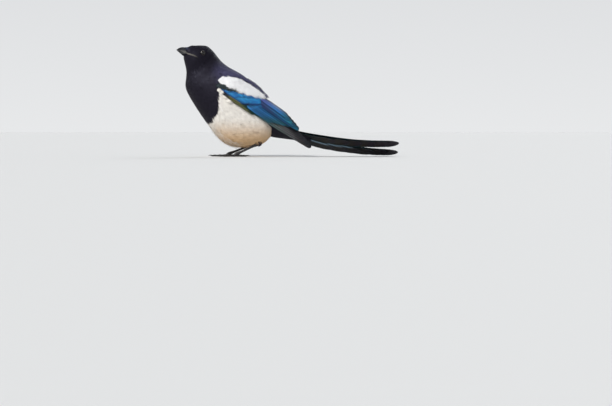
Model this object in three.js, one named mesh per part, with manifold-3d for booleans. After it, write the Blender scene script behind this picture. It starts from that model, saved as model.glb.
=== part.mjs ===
// A eurasian magpie, life size, standing with its head turned to its left and its long tail laid on the floor.
// Millimetres. +Z is up, the bird faces -X, and its left side is at -Y. The floor is the plane z = 0.
import * as THREE from 'three';
import { mergeVertices } from 'three/addons/utils/BufferGeometryUtils.js';
import Module from 'manifold-3d';

const wasm = await Module();
wasm.setup();
const { clamp, degToRad, lerp, smoothstep } = THREE.MathUtils;

// Driving sizes
const GAP = 0.3; // air between two touching pieces
const HEAD_TURN = degToRad(35); // towards the bird's left
const EYE_RADIUS = 5.2;
const BILL_PITCH = degToRad(16.6); // the closed mouth's line rises this much to the tip
const WING_SLOPE = degToRad(33.7); // the folded wing falls this much to its tip
const TAIL_LENGTH = 236;
const TAIL_ROLL = degToRad(25); // the left half hangs lower
const FRAME_SHIFT = [-103.7, 0, 0]; // puts the origin below the middle of the whole bird

// Rungs cross the body from back to belly, from the bill's root to the tail's root.
// number, back x, back z, belly x, belly z, half the width
const RUNGS = [
  [0, -73.5, 189.6, -81.5, 173.6, 6.8],
  [1, -67, 192.6, -82.6, 169, 10.4],
  [2, -59, 193.3, -81.5, 164.3, 13.6],
  [3, -49.5, 194, -79.5, 158.5, 16.6],
  [4, -38.2, 193.3, -77, 152, 18.2],
  [5, -30, 187.9, -75, 145, 19],
  [6, -24.3, 180.9, -74.2, 135.6, 20.2],
  [7, -19.3, 173.4, -75, 125.1, 23],
  [8, -12.6, 164.6, -72.6, 114.6, 27.5],
  [9, -3, 156.7, -64.8, 99.8, 31.2],
  [10, 9.2, 149.7, -51.6, 78.8, 35],
  [11, 23.2, 141.7, -35.9, 56, 37.4],
  [12, 36.8, 130.4, -22.4, 37.5, 38.5],
  [13, 50.8, 117.5, -7.5, 24, 38.5],
  [14, 62.5, 105, 9, 17.4, 37.6],
  [15, 70, 93.6, 29.8, 16.2, 35],
  [16, 75.5, 83.1, 48.1, 18.2, 30.6],
  [17, 78.6, 75.3, 63, 25.4, 25],
  [18, 78.8, 67.4, 71.8, 34.1, 18.5],
];
const BODY_END = RUNGS.length - 1;

// The neck turns with the head between two levels measured up its own line
const NECK_FOOT = [-40, 110];
const NECK_LINE = [-0.6, 0.8];
const TURN_FROM = 12;
const TURN_TO = 62;
const TURN_AXIS_X = -50;

// A table of numbers, read at any key on a smooth curve through its rows. The first column is the key.
function read(table, key) {
  const last = table.length - 1;
  let i = 0;
  while (i < last - 1 && key > table[i + 1][0]) i++;
  const from = table[i];
  const to = table[i + 1];
  const before = table[Math.max(i - 1, 0)];
  const after = table[Math.min(i + 2, last)];
  const span = to[0] - from[0];
  const f = clamp((key - from[0]) / span, 0, 1);
  return from.slice(1).map((value, k) => {
    const end = to[k + 1];
    const leave = ((end - before[k + 1]) / (to[0] - before[0])) * span;
    const arrive = ((after[k + 1] - value) / (after[0] - from[0])) * span;
    const bend = 2 * (value - end) + leave + arrive;
    return value + f * (leave + f * (3 * (end - value) - 2 * leave - arrive + f * bend));
  });
}

// Carries a point of the straight bird to its place on the bird that looks to its left
function turned(point) {
  const up = (point.x - NECK_FOOT[0]) * NECK_LINE[0] + (point.z - NECK_FOOT[1]) * NECK_LINE[1];
  const angle = HEAD_TURN * smoothstep(up, TURN_FROM, TURN_TO);
  const x = point.x - TURN_AXIS_X;
  return new THREE.Vector3(
    TURN_AXIS_X + x * Math.cos(angle) - point.y * Math.sin(angle),
    x * Math.sin(angle) + point.y * Math.cos(angle),
    point.z,
  );
}

// Solids
function solidOf(points, triangles) {
  const vertProperties = new Float32Array(points.flatMap((p) => [p.x, p.y, p.z]));
  const build = (faces) =>
    new wasm.Manifold(new wasm.Mesh({ numProp: 3, vertProperties, triVerts: new Uint32Array(faces.flat()) }));
  const made = build(triangles);
  return made.volume() > 0 ? made : build(triangles.map(([a, b, c]) => [a, c, b]));
}

function solidOfGeometry(geometry) {
  const plain = geometry.clone();
  plain.deleteAttribute('normal');
  plain.deleteAttribute('uv');
  const merged = mergeVertices(plain);
  const points = [];
  for (let i = 0; i < merged.attributes.position.count; i++) {
    points.push(new THREE.Vector3().fromBufferAttribute(merged.attributes.position, i));
  }
  const triangles = [];
  for (let i = 0; i < merged.index.count; i += 3) {
    triangles.push([0, 1, 2].map((k) => merged.index.getX(i + k)));
  }
  return solidOf(points, triangles);
}

// A closed form through rings of like numbers of points
function loft(rings) {
  const size = rings[0].length;
  const points = rings.flat();
  const triangles = [];
  for (let r = 0; r < rings.length - 1; r++) {
    for (let i = 0; i < size; i++) {
      const here = r * size + i;
      const next = r * size + ((i + 1) % size);
      triangles.push([here, next, next + size], [here, next + size, here + size]);
    }
  }
  const capped = [
    [0, rings[0], (a, b, c) => [c, b, a]],
    [(rings.length - 1) * size, rings[rings.length - 1], (a, b, c) => [a, b, c]],
  ];
  for (const [start, ring, face] of capped) {
    const middle = ring.reduce((sum, p) => sum.add(p), new THREE.Vector3()).divideScalar(size);
    points.push(middle);
    for (let i = 0; i < size; i++) {
      triangles.push(face(start + i, start + ((i + 1) % size), points.length - 1));
    }
  }
  return solidOf(points, triangles);
}

// A closed slab between two like grids of points, both faces split along the same diagonals
function slab(outer, inner) {
  const rows = outer.length;
  const columns = outer[0].length;
  const points = [...outer.flat(), ...inner.flat()];
  const under = rows * columns;
  const triangles = [];
  const wall = (a, b) => triangles.push([a, b, b + under], [a, b + under, a + under]);
  for (let r = 0; r < rows - 1; r++) {
    for (let c = 0; c < columns - 1; c++) {
      const corner = r * columns + c;
      const [a, b, d, e] = [corner, corner + 1, corner + columns, corner + columns + 1];
      triangles.push([a, e, b], [a, d, e]);
      triangles.push([a, b, e].map((k) => k + under), [a, e, d].map((k) => k + under));
    }
    wall((r + 1) * columns, r * columns);
    wall(r * columns + columns - 1, (r + 1) * columns + columns - 1);
  }
  for (let c = 0; c < columns - 1; c++) {
    wall(c, c + 1);
    wall((rows - 1) * columns + c + 1, (rows - 1) * columns + c);
  }
  return solidOf(points, triangles);
}

const joined = (solids) => wasm.Manifold.union(solids);

function largest(solid) {
  return solid.decompose().reduce((most, piece) => (piece.volume() > most.volume() ? piece : most));
}

// Materials
const material = (color, roughness, metalness = 0) =>
  new THREE.MeshStandardMaterial({ color, roughness, metalness });
const BLACK_PLUMAGE = material('#15131c', 0.55);
const WHITE_PLUMAGE = material('#ece5da', 0.8);
const BLUE_PLUMAGE = material('#2f76b4', 0.45);
const TAIL_PLUMAGE = material('#0f1315', 0.4);
const HORN = material('#1b1a1c', 0.35);
const SCALED_SKIN = material('#17161a', 0.5);
const EYE_GLOSS = material('#17100c', 0.08);

const bird = new THREE.Group();

function add(name, solid, finish) {
  const { vertProperties, triVerts } = largest(solid).getMesh();
  const geometry = new THREE.BufferGeometry();
  geometry.setAttribute('position', new THREE.BufferAttribute(vertProperties, 3));
  geometry.setIndex(new THREE.BufferAttribute(triVerts, 1));
  geometry.computeVertexNormals();
  const mesh = new THREE.Mesh(geometry, finish);
  mesh.name = name;
  bird.add(mesh);
}

// Feathers
const VANE_THICKNESS = 0.5;
const VANE_TILT = 0.8; // one edge lies this much higher and the other this much lower, as tiles do
const VANE_SINK = 2; // how deep a root is sunk
const VANE_SPAN = 55; // no stretch between two stations is longer
const ROUND_TIP = 0.7; // a tip's rounding takes this share of the width
const ROUND_STOPS = [1, 0.35, 0.03];

// Where along a feather its stations are: the root, the end of its rise, then on to the rounding of its tip
function vaneStops(length, width, ramp) {
  const round = width * ROUND_TIP;
  const straight = length - round;
  const start = Math.min(ramp, straight * 0.6);
  const stops = [0, start];
  const spans = Math.ceil((straight - start) / VANE_SPAN);
  for (let i = 1; i < spans; i++) stops.push(lerp(start, straight, i / spans));
  return [...stops, ...ROUND_STOPS.map((share) => length - round * share)];
}

function vaneHalfWidth(length, width, distance) {
  const round = width * ROUND_TIP;
  const taper = lerp(0.6, 1, smoothstep(distance, 0, length * 0.5));
  const inTip = clamp(1 - (length - distance) / round, 0, 1);
  return (width / 2) * taper * Math.sqrt(1 - inTip ** 2);
}

// A thin strip from a sunk root to a rounded tip. place(along, across, out) puts its points.
function vane(place, { root, tip, width, layer, tilt, ramp, stops, sink = VANE_SINK }) {
  const run = [tip[0] - root[0], tip[1] - root[1]];
  const length = Math.hypot(...run);
  const stations = stops ?? vaneStops(length, width, ramp);
  const face = (lift) =>
    stations.map((distance) =>
      [-1, 1].map((edge) => {
        const half = (edge * vaneHalfWidth(length, width, distance)) / length;
        const along = root[0] + (run[0] * distance) / length - run[1] * half;
        const across = root[1] + (run[1] * distance) / length + run[0] * half;
        const risen = clamp(distance / ramp, 0, 1);
        return place(along, across, lerp(-sink, layer + edge * tilt, risen) + lift);
      }),
    );
  return slab(face(VANE_THICKNESS), face(0));
}

// A row of like feathers, from its first to its last. Each of the two is [root, tip, width].
// A row's later feathers lie over or under the ones before them.
function vaneRow(place, { count, layer, ramp, over, first, last }) {
  return Array.from({ length: count }, (_, i) => {
    const share = i / (count - 1);
    const mix = (a, b) => a.map((value, k) => lerp(value, b[k], share));
    return vane(place, {
      root: mix(first[0], last[0]),
      tip: mix(first[1], last[1]),
      width: lerp(first[2], last[2], share),
      layer,
      tilt: over ? -VANE_TILT : VANE_TILT,
      ramp,
    });
  });
}

// Body: one form from the bill's root to the tail's root, parted by thin cuts
const BODY_SEGMENTS = 32;
const RINGS_PER_RUNG = 2;
const HEAD_CUT = [[-22.5, 173.3], [-73.8, 141]];
const NECK_CUT = [[-3.5, 155.8], [-68, 104]];

function bodyPoint(rung, around, grow = 0) {
  const [backX, backZ, bellyX, bellyZ, half] = read(RUNGS, rung);
  const reach = Math.hypot(backX - bellyX, backZ - bellyZ) / 2;
  const rise = (Math.cos(around) * (reach + grow)) / reach / 2;
  return new THREE.Vector3(
    (backX + bellyX) / 2 + (backX - bellyX) * rise,
    (half + grow) * Math.sin(around),
    (backZ + bellyZ) / 2 + (backZ - bellyZ) * rise,
  );
}

function bodySolid(grow = 0) {
  const rings = [];
  const count = BODY_END * RINGS_PER_RUNG;
  for (let r = 0; r <= count; r++) {
    const ring = [];
    for (let i = 0; i < BODY_SEGMENTS; i++) {
      const point = bodyPoint(r / RINGS_PER_RUNG, (i / BODY_SEGMENTS) * Math.PI * 2, grow);
      if (r === count) point.x += grow;
      ring.push(turned(point));
    }
    rings.push(ring);
  }
  return loft(rings);
}

function thinCut([from, to]) {
  const box = new THREE.BoxGeometry(200, 200, GAP);
  box.rotateY(-Math.atan2(from[1] - to[1], from[0] - to[0]));
  box.translate((from[0] + to[0]) / 2, 0, (from[1] + to[1]) / 2);
  return solidOfGeometry(box);
}

const [torso, neck, bareHead] = bodySolid()
  .subtract(thinCut(HEAD_CUT))
  .subtract(thinCut(NECK_CUT))
  .decompose()
  .sort((a, b) => a.boundingBox().max[2] - b.boundingBox().max[2]);
const roundTorso = bodySolid(GAP);

// Bill
const BILL_TIP = [-96.9, 184.6];
const BILL_SEGMENTS = 10;
const MOUTH_CORNER = 38; // how far behind the tip the mouth ends
const HOOK_LENGTH = 8; // the mouth's line bends down this near the tip
const HOOK_DROP = 1;
// distance from the tip, half the width, height above or below the mouth's line
const UPPER_BILL = [
  [0, 0.5, 0.9],
  [2, 1.3, 3],
  [5, 2, 5.2],
  [10, 3, 7.6],
  [16, 4.2, 9.2],
  [23, 5.3, 10],
  [30, 6, 10.2],
];
const LOWER_BILL = [
  [1.8, 0.6, 0.7],
  [4, 1.3, 1.9],
  [8, 2.2, 3.4],
  [13, 3.2, 4.7],
  [20, 4.5, 5.2],
  [30, 5.4, 5.2],
];

function billPoint(table, back, around, up, grow = 0) {
  const [half, height] = read(table, back);
  const across = (half + grow) * Math.cos(around);
  const droop = HOOK_DROP * (1 - smoothstep(back, 0, HOOK_LENGTH)) ** 2;
  const rise = up * (GAP / 2 - grow + (height + 2 * grow) * Math.sin(around)) - droop;
  const [x, z] = [BILL_TIP[0] + back * Math.cos(BILL_PITCH), BILL_TIP[1] - back * Math.sin(BILL_PITCH)];
  return turned(new THREE.Vector3(x + rise * Math.sin(BILL_PITCH), across, z + rise * Math.cos(BILL_PITCH)));
}

function billHalf(table, up, grow = 0) {
  const first = table[0][0];
  const last = table[table.length - 1][0] + grow;
  const rings = [];
  for (let r = 0; r <= BILL_SEGMENTS; r++) {
    const back = lerp(first, last, (r / BILL_SEGMENTS) ** 1.3);
    const ring = [];
    for (let i = 0; i <= BILL_SEGMENTS; i++) {
      ring.push(billPoint(table, back, (i / BILL_SEGMENTS) * Math.PI, up, grow));
    }
    rings.push(ring);
  }
  return loft(rings);
}

// Eyes, each ringed by a lid
const EYE_PLACE = [-54, 13.5, 179];
const EYE_LOOK = new THREE.Vector3(-0.22, 0.97, 0.08).normalize();
const LID_THICKNESS = 0.8;
const LID_STAND = 3.5; // how far the lid's rim is from the eye's middle

function eyeCentre(side) {
  return turned(new THREE.Vector3(EYE_PLACE[0], side * EYE_PLACE[1], EYE_PLACE[2]));
}

function eyeDirection(side) {
  const look = new THREE.Vector3(EYE_LOOK.x, side * EYE_LOOK.y, EYE_LOOK.z);
  return look.applyAxisAngle(new THREE.Vector3(0, 0, 1), HEAD_TURN);
}

function eyeBall(side, grow = 0) {
  const ball = new THREE.SphereGeometry(EYE_RADIUS + grow, 16, 10);
  ball.applyQuaternion(new THREE.Quaternion().setFromUnitVectors(new THREE.Vector3(0, 1, 0), eyeDirection(side)));
  const centre = eyeCentre(side);
  return solidOfGeometry(ball.translate(centre.x, centre.y, centre.z));
}

// A rim round the eye: a ball a little larger than the eye, cut off level in front of its middle
function lid(side) {
  const centre = eyeCentre(side);
  const look = new THREE.Quaternion().setFromUnitVectors(new THREE.Vector3(0, 1, 0), eyeDirection(side));
  const ball = new THREE.SphereGeometry(EYE_RADIUS + GAP + LID_THICKNESS, 16, 10);
  const front = new THREE.BoxGeometry(40, 20, 40).translate(0, LID_STAND + 10, 0);
  const [rim, cut] = [ball, front].map((form) =>
    solidOfGeometry(form.applyQuaternion(look).translate(centre.x, centre.y, centre.z)),
  );
  return rim.subtract(cut);
}

function mouthSlit() {
  const reach = MOUTH_CORNER + 10;
  const box = new THREE.BoxGeometry(reach, 60, GAP);
  box.translate(MOUTH_CORNER - reach / 2, 0, 0);
  box.rotateY(BILL_PITCH);
  box.translate(BILL_TIP[0], 0, BILL_TIP[1]);
  box.translate(-TURN_AXIS_X, 0, 0).rotateZ(HEAD_TURN).translate(TURN_AXIS_X, 0, 0);
  return solidOfGeometry(box);
}

const SIDES = { left: -1, right: 1 };

// Bristly feathers lie forward over the bill's ridge and hide the nostrils
const BRISTLE_ROOT = 1.5; // the rung they grow from
// degrees from the ridge, distance of the tip from the bill's tip
const BRISTLE_LOCKS = [
  [11, 18],
  [37, 16.5],
  [62, 18.5],
];
// share of the length, thickness, width, how far it bows out
const BRISTLE = [
  [0, 1.4, 4, -0.6],
  [0.35, 1.3, 4.4, 0.7],
  [0.72, 0.9, 3, 0.8],
  [1, 0.2, 0.4, 0],
];

function bristles(side) {
  return BRISTLE_LOCKS.map(([degrees, tipAt]) => {
    const around = degToRad(degrees) * side;
    const root = turned(bodyPoint(BRISTLE_ROOT, around));
    const tip = billPoint(UPPER_BILL, tipAt, Math.PI / 2 - around * 0.85, 1, GAP + 0.4);
    const out = new THREE.Vector3(0, Math.sin(around), Math.cos(around));
    out.applyAxisAngle(new THREE.Vector3(0, 0, 1), HEAD_TURN);
    const spine = BRISTLE.map(([share, , , bow]) =>
      new THREE.Vector3().lerpVectors(root, tip, share).addScaledVector(out, bow),
    );
    const flat = degrees < 45;
    const sizes = BRISTLE.map(([, thick, wide]) => (flat ? [thick / 2, wide / 2] : [wide / 2, thick / 2]));
    return tube(spine, sizes, 6);
  });
}

const headForms = Object.values(SIDES).flatMap((side) => [lid(side), ...bristles(side)]);
const head = joined([bareHead, ...headForms])
  .subtract(eyeBall(SIDES.left, GAP))
  .subtract(eyeBall(SIDES.right, GAP))
  .subtract(billHalf(UPPER_BILL, 1, GAP))
  .subtract(billHalf(LOWER_BILL, -1, GAP))
  .subtract(mouthSlit());

add('head', head, BLACK_PLUMAGE);
add('neck', neck, BLACK_PLUMAGE);
add('torso', torso, WHITE_PLUMAGE);
add('bill_upper', billHalf(UPPER_BILL, 1), HORN);
add('bill_lower', billHalf(LOWER_BILL, -1), HORN);
for (const [name, side] of Object.entries(SIDES)) {
  add(`eye_${name}`, eyeBall(side), EYE_GLOSS);
}

// Wings: a shell hugs the body and runs out past it, and feathers lie on it in tiers
const WING_FRONT = [-21, 127];
const WING_LENGTH = 198;
// distance along the wing, then the shell's section: middle height, half the height, half the width
const WING_SHELL = [
  [-5, -12, 49, 34.6],
  [20, -15, 54, 38.4],
  [40, -18, 56, 39.8],
  [60, -20, 57, 40],
  [80, -22, 55, 39.4],
  [100, -22, 49, 37.8],
  [120, -18, 45, 35],
  [140, -8, 42, 32],
  [160, -4, 32, 29.2],
  [200, -2, 30, 27],
];
// distance along the wing, height of the lower and upper edges of its fleshy part
const WING_CORE = [
  [1, 6, 18],
  [10, -3, 26],
  [25, -8, 31],
  [45, -11, 32],
  [70, -9, 28],
  [92, -6, 22],
  [112, -3, 14],
];
const CORE_ROWS = 8;
const CORE_COLUMNS = 5;
// Feathers by rows, from the lowest tier to the highest: [along, up] of root and tip, and width
const WING_ROWS = [
  // primaries
  { count: 4, layer: 0.6, ramp: 20, over: true, first: [[80, -7], [198, -0.6], 6.5], last: [[80, 4], [163, 8], 7] },
  // the alula and the coverts of the primaries
  { count: 3, layer: 2, ramp: 14, over: true, first: [[36, -9.5], [80, -8.5], 6], last: [[36, -3.5], [60, -3], 6.5] },
  // secondaries
  { count: 5, layer: 2.4, ramp: 20, over: true, first: [[76, -4], [112, -3], 7], last: [[76, 9], [147, 11], 7] },
  // tertials
  { count: 3, layer: 4.1, ramp: 20, over: true, first: [[82, 12], [159, 12], 8], last: [[72, 19], [134, 18.5], 9] },
  // great coverts
  { count: 6, layer: 3.6, ramp: 18, over: false, first: [[34, -3.5], [58, -5], 7.5], last: [[64, 13], [90, 14], 8] },
  // scapulars
  { count: 5, layer: 3.5, ramp: 28, over: false, first: [[16, 15], [42, 14], 10], last: [[62, 21.5], [95, 20.5], 11] },
  { count: 4, layer: 2.9, ramp: 26, over: false, first: [[8, 21], [30, 21], 11], last: [[40, 26], [70, 25], 11] },
];

function wingPoint(side, along, up, out) {
  const [middle, reach, half] = read(WING_SHELL, along);
  const level = clamp((up - middle) / reach, -0.97, 0.97);
  const across = half * Math.sqrt(1 - level ** 2);
  const tilt = Math.atan2(level / reach, across / half ** 2);
  const height = up + out * Math.sin(tilt);
  return new THREE.Vector3(
    WING_FRONT[0] + along * Math.cos(WING_SLOPE) + height * Math.sin(WING_SLOPE),
    side * (across + out * Math.cos(tilt)),
    WING_FRONT[1] - along * Math.sin(WING_SLOPE) + height * Math.cos(WING_SLOPE),
  );
}

// The fleshy part's thickness over the shell: round at its front and edges, thin towards its back
function coreRise(along, share) {
  const length = smoothstep(along, -4, 20) * (1 - smoothstep(along, 40, 95));
  return 3.3 * length - 1.4 * (2 * share - 1) ** 4 - 0.6;
}

function wingCoreFace(side, out) {
  const first = WING_CORE[0][0];
  const last = WING_CORE[WING_CORE.length - 1][0];
  return Array.from({ length: CORE_ROWS + 1 }, (_, r) => {
    const along = lerp(first, last, r / CORE_ROWS);
    const [low, high] = read(WING_CORE, along);
    return Array.from({ length: CORE_COLUMNS + 1 }, (_, c) => {
      const share = c / CORE_COLUMNS;
      return wingPoint(side, along, lerp(low, high, share), out(along, share));
    });
  });
}

function wing(side) {
  const place = (along, up, out) => wingPoint(side, along, up, out);
  const core = slab(
    wingCoreFace(side, coreRise),
    wingCoreFace(side, (along) => lerp(-6, -2, smoothstep(along, 60, 110))),
  );
  const feathers = WING_ROWS.flatMap((row) => vaneRow(place, row));
  return joined([core, ...feathers]).subtract(roundTorso);
}

// Tail: twelve feathers in two graduated halves, bent so that their tips lie on the floor
const TAIL_ROOT = [66, 57];
const TAIL_SLOPES = [21.6, -1]; // degrees down, at the root and at the tip
const TAIL_STEPS = 24;
// length, width, how far its middle line leans out at the tip, from the middle pair outwards
const TAIL_FEATHERS = [
  [236, 33, 15],
  [219, 29, 18],
  [196, 27, 19],
  [172, 26, 19.5],
  [150, 25, 19],
  [124, 24, 18],
];
const TAIL_LAYER = 0.4;
const TAIL_FEATHER_ROOT = [20, 3.5];
const TAIL_STOPS = [0, 30, 65, 100, 135, 170];
// distance along the tail, half the width and half the height of the coverts round its root
const TAIL_COVERTS = [
  [-6, 15, 13],
  [8, 18, 15.5],
  [22, 17.5, 13],
  [38, 16.5, 9],
  [54, 15, 5.5],
  [70, 12, 3.6],
  [84, 7, 2.6],
];
const COVERT_SEGMENTS = 20;

// The tail's own line bends evenly, so it is walked in short steps
function tailFrame(along) {
  const step = along / TAIL_STEPS;
  const place = new THREE.Vector3(TAIL_ROOT[0], 0, TAIL_ROOT[1]);
  const slope = (s) => degToRad(lerp(...TAIL_SLOPES, clamp(s / TAIL_LENGTH, 0, 1)));
  for (let i = 0; i < TAIL_STEPS; i++) {
    place.x += step * Math.cos(slope((i + 0.5) * step));
    place.z -= step * Math.sin(slope((i + 0.5) * step));
  }
  const ahead = new THREE.Vector3(Math.cos(slope(along)), 0, -Math.sin(slope(along)));
  const right = new THREE.Vector3(0, 1, 0).applyAxisAngle(ahead, -TAIL_ROLL);
  return { place, right, up: new THREE.Vector3().crossVectors(right, ahead) };
}

function tailPoint(along, across, out) {
  const { place, right, up } = tailFrame(along);
  return place.addScaledVector(right, across).addScaledVector(up, out);
}

function tailCore() {
  const rings = TAIL_COVERTS.map(([along, half, reach]) =>
    Array.from({ length: COVERT_SEGMENTS }, (_, i) => {
      const turn = (i / COVERT_SEGMENTS) * Math.PI * 2;
      return tailPoint(along, half * Math.cos(turn), reach * Math.sin(turn) - 2.4);
    }),
  );
  return loft(rings);
}

function tail() {
  const feathers = TAIL_FEATHERS.flatMap(([length, width, lean], k) =>
    Object.values(SIDES).map((side) => {
      const layer = -TAIL_LAYER * (2 * k + (side > 0 ? 1 : 0));
      const [from, off] = TAIL_FEATHER_ROOT;
      const root = [from, side * off];
      const tip = [length, side * lean];
      const run = Math.hypot(length - from, lean - off);
      const round = ROUND_STOPS.map((share) => run - width * ROUND_TIP * share);
      const stops = [...TAIL_STOPS.filter((stop) => stop < round[0] - 5), ...round];
      return vane(tailPoint, { root, tip, width, layer, tilt: 0, ramp: 1, sink: -layer, stops });
    }),
  );
  return joined([tailCore(), ...feathers]).subtract(roundTorso).subtract(FLOOR);
}

// Legs and feet
const HEEL = { left: [53, -16, 23], right: [41, 16, 21] };
const BALL = { left: [13, -15, 4.2], right: [-2, 15, 4.2] };
const TARSUS_SEGMENTS = 10;
// share of the way down, half the thickness fore and aft, half the width
const TARSUS = [
  [0, 3.2, 3],
  [0.1, 3.4, 3.1],
  [0.25, 2.3, 2],
  [0.5, 2, 1.7],
  [0.75, 2.1, 1.8],
  [0.92, 2.9, 2.8],
  [1, 3.1, 3.3],
];
// name, direction in degrees from straight ahead, length, half the thickness, claw's length
const TOES = [
  ['middle', -2, 28, 2.2, 9],
  ['inner', -26, 21, 2, 8],
  ['outer', 24, 22, 2, 8],
  ['hind', 177, 16, 2.3, 11],
];
const TOE_PADS = 3;

function tube(spine, sizes, segments) {
  const rings = spine.map((place, r) => {
    const ahead = new THREE.Vector3()
      .subVectors(spine[Math.min(r + 1, spine.length - 1)], spine[Math.max(r - 1, 0)])
      .normalize();
    const across = new THREE.Vector3(ahead.y, -ahead.x, 0).normalize();
    const up = new THREE.Vector3().crossVectors(across, ahead);
    const ring = [];
    for (let i = 0; i < segments; i++) {
      const turn = (i / segments) * Math.PI * 2;
      ring.push(
        place
          .clone()
          .addScaledVector(across, sizes[r][1] * Math.cos(turn))
          .addScaledVector(up, sizes[r][0] * Math.sin(turn)),
      );
    }
    return ring;
  });
  return loft(rings);
}

function tarsus(name, grow) {
  const [from, to] = [HEEL[name], BALL[name]].map((p) => new THREE.Vector3(...p));
  const shares = TARSUS.map((row) => row[0]);
  return tube(
    shares.map((t) => new THREE.Vector3().lerpVectors(from, to, t)),
    TARSUS.map((row) => row.slice(1).map((size) => size + grow)),
    TARSUS_SEGMENTS,
  );
}

// The foot's pad joins the toes' roots
function footPad(name, grow = 0) {
  const [x, y, z] = BALL[name];
  const pad = new THREE.SphereGeometry(1, 12, 8).scale(4 + grow, 3.7 + grow, 3.4 + grow);
  return solidOfGeometry(pad.translate(x, y, z - 1.2));
}

function shank(name, grow = 0) {
  return joined([tarsus(name, grow), footPad(name, grow)])
    .subtract(thigh(name, GAP))
    .subtract(roundTorso)
    .subtract(FLOOR);
}

const FLOOR = solidOfGeometry(new THREE.BoxGeometry(900, 300, 60).translate(100, 0, -30));

function toeDirection(side, degrees) {
  const turn = degToRad(degrees) * side;
  return new THREE.Vector3(-Math.cos(turn), Math.sin(turn), 0);
}

function toe(name, degrees, length, thick, clawLength, grow = 0) {
  const side = SIDES[name];
  const ahead = toeDirection(side, degrees);
  const start = new THREE.Vector3(...BALL[name]).setZ(thick - 0.35);
  const spine = [];
  const sizes = [];
  const steps = TOE_PADS * 3;
  for (let i = 0; i <= steps; i++) {
    const t = i / steps;
    const swell = 1 - 0.13 * (0.5 + 0.5 * Math.cos(t * TOE_PADS * Math.PI * 2));
    spine.push(start.clone().addScaledVector(ahead, lerp(1, length + grow, t)));
    const size = thick * swell * lerp(1, 0.78, t);
    spine[i].z += size - thick;
    sizes.push([size + grow, size + grow]);
  }
  return tube(spine, sizes, 8);
}

function claw(name, degrees, length, thick, clawLength) {
  const ahead = toeDirection(SIDES[name], degrees);
  const start = new THREE.Vector3(...BALL[name]).setZ(thick * 0.78 * 0.87 - 0.35).addScaledVector(ahead, length - 0.6);
  const spine = [];
  const sizes = [];
  for (let i = 0; i <= 5; i++) {
    const t = i / 5;
    const place = start.clone().addScaledVector(ahead, clawLength * (t - 0.12 * t * t));
    place.z += 1.9 * Math.sin(t * 2.2) - 1.55 * t;
    spine.push(place);
    const size = thick * 0.6 * (1 - 0.86 * t);
    sizes.push([size, size * 0.85]);
  }
  return tube(spine, sizes, 6);
}

function thigh(name, grow = 0) {
  const heel = new THREE.Vector3(...HEEL[name]);
  const top = heel.clone().add(new THREE.Vector3(-16, SIDES[name] * 4, 26));
  const shares = [-0.16, 0, 0.2, 0.45, 0.7, 1];
  return tube(
    shares.map((t) => new THREE.Vector3().lerpVectors(heel, top, t)),
    [2.9, 4.1, 5.6, 7.4, 9, 9].map((size) => [size + grow, size * 0.9 + grow]),
    16,
  );
}

for (const [name, side] of Object.entries(SIDES)) {
  add(`wing_${name}`, wing(side), BLUE_PLUMAGE);
}
add('tail', tail(), TAIL_PLUMAGE);
for (const name of Object.keys(SIDES)) {
  add(`thigh_${name}`, thigh(name).subtract(roundTorso), WHITE_PLUMAGE);
  add(`tarsus_${name}`, shank(name), SCALED_SKIN);
  let around = shank(name, GAP);
  for (const [toeName, ...sizes] of TOES) {
    const bareClaw = claw(name, ...sizes).subtract(FLOOR);
    add(`claw_${toeName}_${name}`, bareClaw.subtract(toe(name, ...sizes, GAP)), HORN);
    add(`toe_${toeName}_${name}`, toe(name, ...sizes).subtract(FLOOR).subtract(around), SCALED_SKIN);
    around = around.add(toe(name, ...sizes, GAP));
  }
}

bird.position.set(...FRAME_SHIFT);
export default bird;
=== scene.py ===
# A eurasian magpie, life size, in its plumage. Every feather is a thin closed vane or lock of mesh.
# Sizes are millimetres in the bird's own frame: it faces -X, its left side is at -Y and the floor is z = 0.
import math

import bpy
import numpy as np
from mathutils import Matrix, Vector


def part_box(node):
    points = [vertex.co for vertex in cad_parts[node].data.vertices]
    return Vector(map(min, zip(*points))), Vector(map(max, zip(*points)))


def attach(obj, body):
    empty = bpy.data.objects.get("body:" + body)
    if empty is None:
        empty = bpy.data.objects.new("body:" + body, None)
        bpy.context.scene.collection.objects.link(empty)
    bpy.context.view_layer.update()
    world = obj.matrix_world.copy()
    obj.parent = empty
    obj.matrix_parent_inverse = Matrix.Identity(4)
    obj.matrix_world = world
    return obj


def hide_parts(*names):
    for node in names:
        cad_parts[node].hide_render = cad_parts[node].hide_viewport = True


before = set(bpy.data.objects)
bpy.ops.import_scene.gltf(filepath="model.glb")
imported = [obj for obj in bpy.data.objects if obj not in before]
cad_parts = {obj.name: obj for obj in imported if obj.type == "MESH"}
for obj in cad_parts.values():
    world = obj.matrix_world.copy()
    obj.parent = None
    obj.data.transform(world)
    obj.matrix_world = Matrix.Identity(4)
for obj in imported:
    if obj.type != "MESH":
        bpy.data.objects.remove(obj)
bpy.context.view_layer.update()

MM = 0.001
SIDES = {"left": -1, "right": 1}
BODY = "root"
FULL_TURN = 2 * math.pi

# Head, neck and body
HEAD_TURN = math.radians(35)  # towards the bird's left
TURN_AXIS_X = -50
NECK_FOOT = (-40, 110)
NECK_LINE = (-0.6, 0.8)
TURN_FROM = 12
TURN_TO = 62
COAT_DEPTH = 0.6  # how far the skin lies inside the body's outline
ROOT_DEPTH = 0.8  # how far a tuft's root lies inside it

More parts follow.
